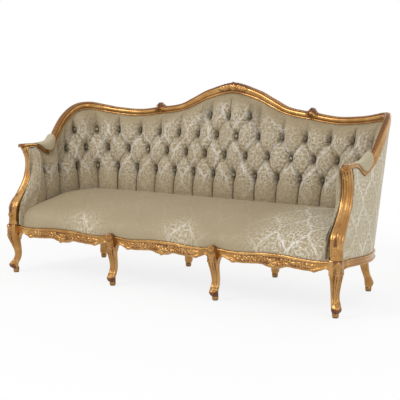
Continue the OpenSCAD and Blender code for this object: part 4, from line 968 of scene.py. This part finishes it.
def arm_support(side, word):
    """The S-shaped support of an arm: reeded, with a leaf at both ends and a volute low on its front."""
    rings, n = 190, 96
    ang = turn(n)[None]
    p, out, c = stump_rings(rings, ang)
    high = ((c[:, 2] - BLOCK_H) / (STUMP_TOP - BLOCK_H))[:, None]
    off, wide = apart(ang, 0.25 - pi / 2), 1.15
    panel = smooth(wide + 0.08, wide - 0.08, abs(off))
    reeds = cos(off * 2 * pi / ARM_REED)
    shaft = smooth(0.02, 0.06, high) * smooth(0.995, 0.96, high)
    foot_leaf = leaf_height((0.36 - high) / 0.36, off / 0.8)
    top_leaf = leaf_height((high - 0.86) / 0.2, off / 1.2)
    lift = shaft * (panel * (0.0013 * reeds - 0.0022) + 0.0026 * bell(abs(off) - wide, 0.13))
    lift = lift + foot_leaf * 0.005 * smooth(0.02, 0.08, high) + top_leaf * 0.003
    # Red-brown clay with painted shade between the reeds. The volute, a strip above it and the top are
    # red-brown clay too.
    bole = shaft * panel * 0.6 * (0.5 - 0.5 * reeds) ** 4 * smooth(0.3, 0.42, high)
    bole = bole + 0.9 * bell(off + 0.1, 0.42) * bell(high - 0.17, 0.05)
    bole = bole + 0.6 * bell(off + 0.1, 0.2) * smooth(0.17, 0.22, high) * smooth(0.42, 0.34, high)
    bole = bole + smooth(0.9, 0.97, high) * panel * 0.35
    piece = Piece(side).add(p + lift[..., None] * out, joined(ang * 0.02, c[:, 2:3]), clip(bole, 0, 1))
    row, column = int(rings * 0.17), int(n * 0.79)
    w = linspace(0.3, 4.6 * pi, 80)[:, None]
    r = 0.0022 + 0.0118 * (w / w[-1])
    facing = out[row, column]
    across = unit(np.cross([0, 0, 1.0], facing))
    path = p[row, column] + r * cos(w) * across + r * sin(w) * np.cross(facing, across) + 0.002 * facing
    tube(piece, path, 0.0028, 0.3)
    piece.build(f"arm_stump_{word}", GILT, "gilt_wood", f"arm_support_{word}")


# Upholstery
REAR_STEPS = array([0, 0.35, 0.7, 1])
# How far the padding of the back and of the arms reaches from the middle, along the padding
BACK_REACH, ARM_REACH = 22 * PITCH / 4, 40 * PITCH / 4


def padded_columns(s, rows):
    """Rings of the buttoned padding at distances along the back: up its rear, then down its face."""
    t, s = station(s)[:, None], s[:, None]
    top = inside_top(t)[..., 2]
    z = mix(TACK_H + GAP, top, linspace(0, 1, rows))
    thick, dark = tuft(s, z)
    edge = np.sqrt(smooth(0, 0.05, top - z))
    front = inside(t, z) + mix(EDGE_T, thick, edge)[..., None] * inward(RAIL, t)
    rear_z = mix(TACK_H + GAP, top, REAR_STEPS)
    # Painted sheen: the pattern shows less near the top edge and towards the seat. The folds' painted shade
    # goes along with it.
    sheen_share = smooth(0.015, 0.075, top - z) * mix(0.45, 1, smooth(SEAT_H + 0.03, FIRST_ROW, z))
    pairs = ((inside(t, rear_z), front), (joined(s, rear_z), joined(s, z)), (0 * rear_z, dark * edge),
             (0 * rear_z, mix(0.15, 1, sheen_share)))
    return [folded(*pair) for pair in pairs]


def inside_back():
    """Buttoned padding of the back."""
    p, uv, fold, figure = padded_columns(linspace(-BACK_REACH, BACK_REACH, 520), 170)
    piece = Piece().add(p, uv, fold, figure)
    piece.build("buttoned_back", DAMASK, "damask", "inside_back")


# Fullness of the roll behind an arm support, from the buttoned cloth round to the front
ROLL_SHARES = [(0, 0.95), (0.5, 0.7), (0.8, 0.4), (1, 0)]


def inside_arm(side, word):
    """Padding of an arm, rolled round behind the arm support and down to the seat rail at the front."""
    rows = 110
    p, uv, fold, figure = padded_columns(linspace(BACK_REACH + GAP, ARM_REACH, 170), rows)
    low, high = RAIL_TOP + EDGE_T + GAP, inside_top(station(ARM_REACH))[2]
    rings = []
    for step in linspace(0, 1, 9):
        base = mix(TACK_H + GAP, low, smooth(0.0, 0.35, step))
        face_z = mix(base, high, linspace(0, 1, rows))
        rear_z = array([base, max(base, TACK_H + GAP), mix(TACK_H, high, 0.55), high])
        thick = tuft(ARM_REACH, face_z)[0]
        for share in (np.sqrt(smooth(0, 0.05, high - face_z)), table(step, ROLL_SHARES),
                      mix(1, smooth(RAIL_TOP, SEAT_H + 0.04, face_z), smooth(0, 0.4, step))):
            thick = mix(EDGE_T, thick, share)
        rings.append(concatenate([roll_at(rear_z, 0 * rear_z, step), roll_at(face_z, thick, step)[::-1]]))
    control = concatenate([p[-8::7], array(rings)])
    fine = spline(control, linspace(1, len(control) - 1, 70))[1:]
    height = fine[..., 2]
    fine_uv = joined(ARM_REACH + linspace(0, 0.16, len(fine))[:, None], height)
    # The roll gets most of the painted sheen and no painted shade.
    pairs = ((p, fine), (uv, fine_uv), (fold, 0 * height), (figure, 0.8 + 0 * height))
    piece = Piece(side).add(*(concatenate(pair) for pair in pairs))
    piece.build(f"buttoned_arm_{word}", DAMASK, "damask", f"inside_arm_{word}")


def roll_at(z, h, step):
    """The roll behind an arm support at heights z, standing h in from its rear."""
    x = minimum(inside(STUMP_AT, z)[..., 0], inside(LAST, z)[..., 0] - OVER)
    x = minimum(x, stump_near(z, 2, 0, np.min) - GAP) - h
    y = mix(stump_near(z, 1, 1, np.max) + GAP, stump_at(z, 3, 1) + EDGE_T, step)
    return joined(x, y, z)


def buttons():
    """Covered buttons: a drawn dome over a shank."""
    piece = Piece()
    seat, a = PAD_T + 0.001, turn(28)
    r = BUTTON_D * 0.4 * array([0.1, 0.16, 0.16, 0.75, 0.97, 1.0, 0.93, 0.78, 0.55, 0.3, 0.04])[:, None]
    h = array([0.001, 0.002, -0.0005, 0, 0.0012, 0.0026, 0.0045, 0.006, 0.0068, 0.0072, 0.0073]) + seat
    for k, (s, z) in enumerate(BUTTONS):
        t = station(s)
        n = inward(RAIL, t)
        flat = joined(r * cos(a), r * sin(a))
        p = inside(t, z) + h[:, None, None] * n + flat @ array([unit(np.cross([0, 0, 1.0], n)), [0, 0, 1.0]])
        # Painted shade: most buttons are darkened as if deep in their pits, every seventh one less.
        piece.add(p, flat + [s, z], 0.3 if k % 7 == 3 else 0.72)
    piece.build("covered_buttons", DAMASK, "damask", "tufting_buttons")


SEAT_U = ARM_DEPTH + PAD_T + TUFT * 0.8
SEAT_START, SEAT_CORNER = 15.6, 8
FLARE_SHARES = [(0, 2.5), (0.05, 2.3), (0.1, 1.8), (0.16, 1.2), (0.24, 0.6), (0.32, 0.2), (0.42, 0)]


def seat_edge(t, u):
    """Place on the plan, x and y, at a station and a distance in from the rail's line."""
    return np.moveaxis(on_line(RAIL, t) + u * inward(RAIL, t), -1, 0)[:2]


def seat_surface(a, b):
    """Point of the seat's top: a from side to side, -1 to 1, and b from front to back, 0 to 1."""
    corner_x, corner_y = seat_edge(SEAT_CORNER, SEAT_U)
    side_x, side_y = seat_edge(mix(SEAT_START, SEAT_CORNER, b), SEAT_U)
    side_x = side_x + SEAT_FLARE * table(b, FLARE_SHARES)
    side_y = side_y - seat_edge(SEAT_START, SEAT_U)[1] * (1 - smooth(0, 0.3, b))
    back_x, back_y = seat_edge(a * SEAT_CORNER, SEAT_U)
    x = a * side_x + b * (back_x - a * corner_x)
    y = b * back_y + a * a * (side_y - b * corner_y)
    power = 2.4 + 0.4 * a * a
    swell = (1 - (1 - b) ** power) ** (1 / power)
    crown = SEAT_CROWN * sin(pi * b**0.8) * (1 - a * a)
    sink = maximum(SEAT_SINK * abs(a) ** 24, SEAT_SINK * b**24)
    z = mix(RAIL_TOP, SEAT_H, swell) + crown + GAP - sink * swell + rail_wave(x) * smooth(0.06, 0, b)
    return joined(x, y, z)


# Where the seat's figure catches the light: how much, how far across, and how deep from the front
SEAT_PATCHES = [(0.8, -0.53, 0.09), (0.95, 0.1, 0.12)]


def seat():
    """The crowned seat: its top, and a flat underside that ends behind the front rail's lip."""
    a = sin(pi / 2 * linspace(-1, 1, 200))[:, None]
    b = (linspace(0, 1, 90) ** 1.8)[None]
    b = mix(b, 1 - (1 - b) ** 1.5, b)
    top = seat_surface(a, b)
    x, back_y, lift = top[:, 0, 0], top[:, -1, 1], 2 * STRAP_T + HESSIAN_T + GAP
    low = [joined(x, 0.6 * LIP_W, frame_z(LIP_W) + GAP + rail_wave(x)),
           joined(x, LIP_W, frame_z(LIP_W) + lift), joined(top[:, -1, 0], back_y, frame_z(back_y) + lift)]
    uv = joined(top[..., 0], walked(top))
    # Painted sheen: the pattern shows on the right end of the seat and in two patches at the front, and
    # hardly elsewhere.
    plain = 0.1 + 0.95 * smooth(0.45, 0.68, a)
    patches = sum(f * bell(a - at, 0.11) * bell(b - 0.02, deep) for f, at, deep in SEAT_PATCHES)
    figure = clip(plain + patches, 0, 1)
    piece = Piece().add(folded(np.stack(low, 1), top), folded(0 * uv[:, :3], uv),
                        figure=folded(0 * figure[:, :3], figure))
    piece.build("seat", SEAT_DAMASK, "damask", "seat_cushion")


PAD_OUTLINE = [
    (-1, 0), (-1, 0.4), (-0.8, 0.78), (-0.42, 0.96), (0, 1), (0.42, 0.96), (0.8, 0.78), (1, 0.4), (1, 0)]
PAD_RISE = [
    (PAD_START, 0.05), (11.5, 0.45), (11.8, 0.9), (12.1, 1.08), (12.4, 1.15), (12.7, 1.15), (13, 1.08),
    (13.3, 0.86), (13.6, 0.52), (13.9, 0.22), (PAD_END, 0.06)]
PAD_WIDTH = [
    (PAD_START, 0.5), (11.45, 0.75), (11.6, 0.92), (11.9, 1), (13.8, 1), (14.05, 0.9), (PAD_END, 0.6)]


def arm_pad(side, word):
    """A plump pad bedded in the dip of the arm and leaning on the foot of the wing."""
    t = linspace(PAD_START, PAD_END, 80)
    rise = ARM_PAD_H * table(t, PAD_RISE)
    rise = np.convolve(np.pad(rise, 3, "edge"), np.ones(7) / 7, "valid")
    wide = ARM_PAD_W / 2 * minimum(1.08, 0.78 + 0.3 * rise / ARM_PAD_H) * table(t, PAD_WIDTH)
    line = clip(spline(PAD_OUTLINE, linspace(0, 8, 44)), (-1, 0), 1)
    u, t = line[:, 0] * wide[:, None], t[:, None]
    p = spot(t, u, half_h(t) + OVER)
    p[..., 2] += line[:, 1] * rise[:, None]
    # Little painted sheen on the pads.
    piece = Piece(side).add(p, joined(u, p[:, :1, 1]), flip=True, figure=0.1)
    piece.build(f"arm_cushion_{word}", PALE_DAMASK, "damask", f"arm_pad_{word}")


def cover(name, node, t, side, swept):
    """An outside cover: a stretched panel with its backing."""
    f, t = linspace(0, 1, 40)[None], t[:, None]
    outer, inner = outside(t, f, 0.0), outside(t, f, PANEL_T)
    if swept:
        for p in (outer, inner):
            back = stump_at(p[..., 2], 1, 1) + 2 * TUCK + (LAST - t) * GAP
            p[..., 1] = maximum(maximum(p[..., 1], back), BLOCK_BACK + GAP)
    uv = joined(walked(outer[:, 20])[:, None], outer[..., 2])
    piece = Piece(side).add(folded(outer, inner), folded(uv, uv))
    declare_sheet(piece.build(name, PALE_DAMASK, "outside_damask", node), outer)


def declare_sheet(obj, p):
    """Flat sizes of a stretched sheet two ways, from the points of one face; they are worked out and not
    kept.
    """
    length, width = float(walked(p.swapaxes(0, 1))[:, -1].max()), float(walked(p)[:, -1].max())


def build_covers():
    span = linspace(-SHOULDER, SHOULDER, 180)
    cover("outside_back_cover", "outside_back", span, 1, False)
    span = linspace(SHOULDER + 0.01, COVER_END, 160)
    for side, word in SIDES:
        cover(f"outside_arm_cover_{word}", f"outside_arm_{word}", span, side, True)


def gimp():
    """Narrow braid along the joint of the inside padding and the moulding."""
    t, s = (v[:, None] for v in by_length(TOP, -GIMP_END, GIMP_END, 0.004))
    w = turn(10)[None]
    r = 0.0019 * (1 + 0.16 * sin(2 * pi * (s / 0.006) + w))
    tuck = TUCK * table(abs(t), [(10, 0.6), (11, 1.4), (13, 2.2), (15, 1.4)])
    u = 0.55 * HALF_D - EDGE_T * 0.25 + r * cos(w) * 1.3
    p = spot(t, u, r * sin(w) - half_low(t) - tuck)
    # A little painted shade along the braid, and half the painted sheen of the pattern.
    piece = Piece().add(p, joined(s, 0.005 * w), 0.12, figure=0.5, flip=True)
    piece.build("gimp_braid", PALE_DAMASK, "damask")


def hessian():
    """Hessian over the webbing, from its half outline: one row from side to side for each point of it."""
    half = seat_edge(linspace(HESSIAN_FRONT, HESSIAN_BACK, 90), SEAT_U + STRAP_W / 4).T
    half = concatenate([[[half[0, 0], LIP_W + GAP]], half])
    x, y = half[:, 0:1] * linspace(-1, 1, 60), half[:, 1:2]
    z = frame_z(y) + 2 * STRAP_T
    low, high, uv = joined(x, y, z), joined(x, y, z + HESSIAN_T), joined(x, y)
    piece = Piece().add(folded(high, low), folded(uv, uv))
    declare_sheet(piece.build("hessian_sheet", HESSIAN, "jute", "seat_hessian"), high)


def cloth_like(name, node, cell, sag, material, slot):
    """A cloth of a CAD node's outline, cut into a fine grid and let down between its nailed edges."""
    grid = bmesh.new()
    grid.from_mesh(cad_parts[node].data)
    bmesh.ops.remove_doubles(grid, verts=grid.verts, dist=1e-5)
    bmesh.ops.dissolve_limit(grid, angle_limit=0.02, verts=grid.verts, edges=grid.edges)
    co = array([v.co for v in grid.verts])
    low, high = co.min(0), co.max(0)
    for axis in (0, 1):
        for at in np.arange(low[axis] + cell / 2, high[axis], cell):
            place, way = [0, 0, 0], [0, 0, 0]
            place[axis], way[axis] = at, 1
            geom = grid.verts[:] + grid.edges[:] + grid.faces[:]
            bmesh.ops.bisect_plane(grid, geom=geom, plane_co=place, plane_no=way)
    for v in grid.verts:
        f, g = ((v.co[k] - low[k]) / (high[k] - low[k]) for k in (0, 1))
        v.co.z -= sag * max(0.0, math.sin(pi * f) * math.sin(pi * g)) ** 0.5
    cloth = grid.loops.layers.uv.new("cloth")
    for face in grid.faces:
        for corner in face.loops:
            corner[cloth].uv = corner.vert.co.xy
    mesh = bpy.data.meshes.new(name)
    grid.to_mesh(mesh)
    area = sum(f.calc_area() for f in grid.faces if f.normal.z > 0.5)
    grid.free()
    obj = stand_in(name, mesh, material, slot, node)


def build_under_cloths():
    """Cambric under the frame, and the jute webbing that carries the seat."""
    cloth_like("cambric_sheet", "dust_cover", 0.05, 0.003, DUST, "dust_cloth")
    cloth_like("webbing_long", "seat_webbing_long", 0.03, 0.0, JUTE, "jute")
    cloth_like("webbing_cross", "seat_webbing_cross", 0.03, 0.0, JUTE, "jute")


def paint_nodes():
    """Materials for the solids that stay as the CAD made them."""
    finishes = {"frame_dowels": BEECH, "corner_blocks": BEECH, "tacking_rails": BEECH,
                "corner_block_screws": STEEL, "foot_glides": FELT}
    for name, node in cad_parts.items():
        beech = "post" in name or "bar" in name
        node.data.materials.clear()
        node.data.materials.append(BEECH if beech else finishes.get(name, GILT))


# Floor, surroundings, lamps and camera
CAMERA_PLACE, CAMERA_TURN, CAMERA_LENS = (3.429, -5.1705, 1.288), (82.25, 0, 33.48), 105.27
AMBIENT, FLOOR_RADIUS = 0.55, 30
# Name, place, the point that it is turned to, size and power
LAMPS = [
    ("key", (-1.6, -3.6, 3.4), (0, 0, 0.5), 2.2, 95),
    ("fill", (4.2, -2.2, 2.4), (0.3, 0, 0.4), 2.4, 40),
    ("rim", (0.5, 3.6, 3.2), (0, 0, 0.6), 2.5, 40),
]


def camera():
    obj = linked("camera", bpy.data.cameras.new("camera"))
    obj.location = CAMERA_PLACE
    obj.rotation_euler = [math.radians(a) for a in CAMERA_TURN]
    obj.data.lens, obj.data.sensor_width, obj.data.clip_end = CAMERA_LENS, 36, 100
    bpy.context.scene.camera = obj
    bpy.context.scene.view_settings.view_transform = "Standard"


def floor():
    """A round pale floor that turns into the white around it away from the sofa."""
    mesh = bpy.data.meshes.new("floor")
    rim = [(FLOOR_RADIUS * math.cos(w), FLOOR_RADIUS * math.sin(w), 0) for w in turn(64)]
    mesh.from_pydata(rim, [], [list(range(64))])
    linked("floor", mesh)
    m = Material("pale_floor", Roughness=0.9)
    m.bsdf.inputs["Base Color"].default_value = (0.9, 0.9, 0.9, 1)
    glow = m.node("Emission", Color=(1, 1, 1, 1), Strength=1.0)
    far = m.value("VectorMath", "Value", Vector=m.coords(), operation="LENGTH").soft(1.2, 3.0, 0.84, 1.0)
    mixed = m.node("MixShader", Fac=seen_by(m.tree, "Camera", "Glossy") * far)
    for output, socket in ((m.bsdf.outputs[0], mixed.inputs[1]), (glow.outputs[0], mixed.inputs[2]),
                           (mixed.outputs[0], m.tree.nodes["Material Output"].inputs[0])):
        m.join(output, socket)
    mesh.materials.append(m.m)


def surroundings():
    """A white world that lights the sofa less than it shows."""
    world = bpy.context.scene.world or bpy.data.worlds.new("world")
    bpy.context.scene.world = world
    world.use_nodes = True
    tree = world.node_tree
    back = tree.nodes["Background"]
    back.inputs["Color"].default_value = (1, 1, 1, 1)
    seen = seen_by(tree, "Camera", "Glossy", "Transmission")
    tree.links.new((seen * (1 - AMBIENT) + AMBIENT).socket, back.inputs["Strength"])


def lamp(name, place, aim, size, power):
    light = bpy.data.lights.new(name, "AREA")
    light.shape, light.size, light.energy = "DISK", size, power
    obj = linked(name, light)
    obj.location = place
    d = array(aim) - array(place)
    from_z = math.atan2(math.hypot(d[0], d[1]), -d[2])
    obj.rotation_euler = (from_z, 0, math.atan2(d[1], d[0]) - pi / 2)


paint_nodes()
build_mouldings()
build_rails()
build_front_legs()
build_rear_legs()
inside_back()
buttons()
seat()
for hand, name in SIDES:
    arm_support(hand, name)
    inside_arm(hand, name)
    arm_pad(hand, name)
build_covers()
gimp()
hessian()
build_under_cloths()
camera()
floor()
surroundings()
for row in LAMPS:
    lamp(*row)
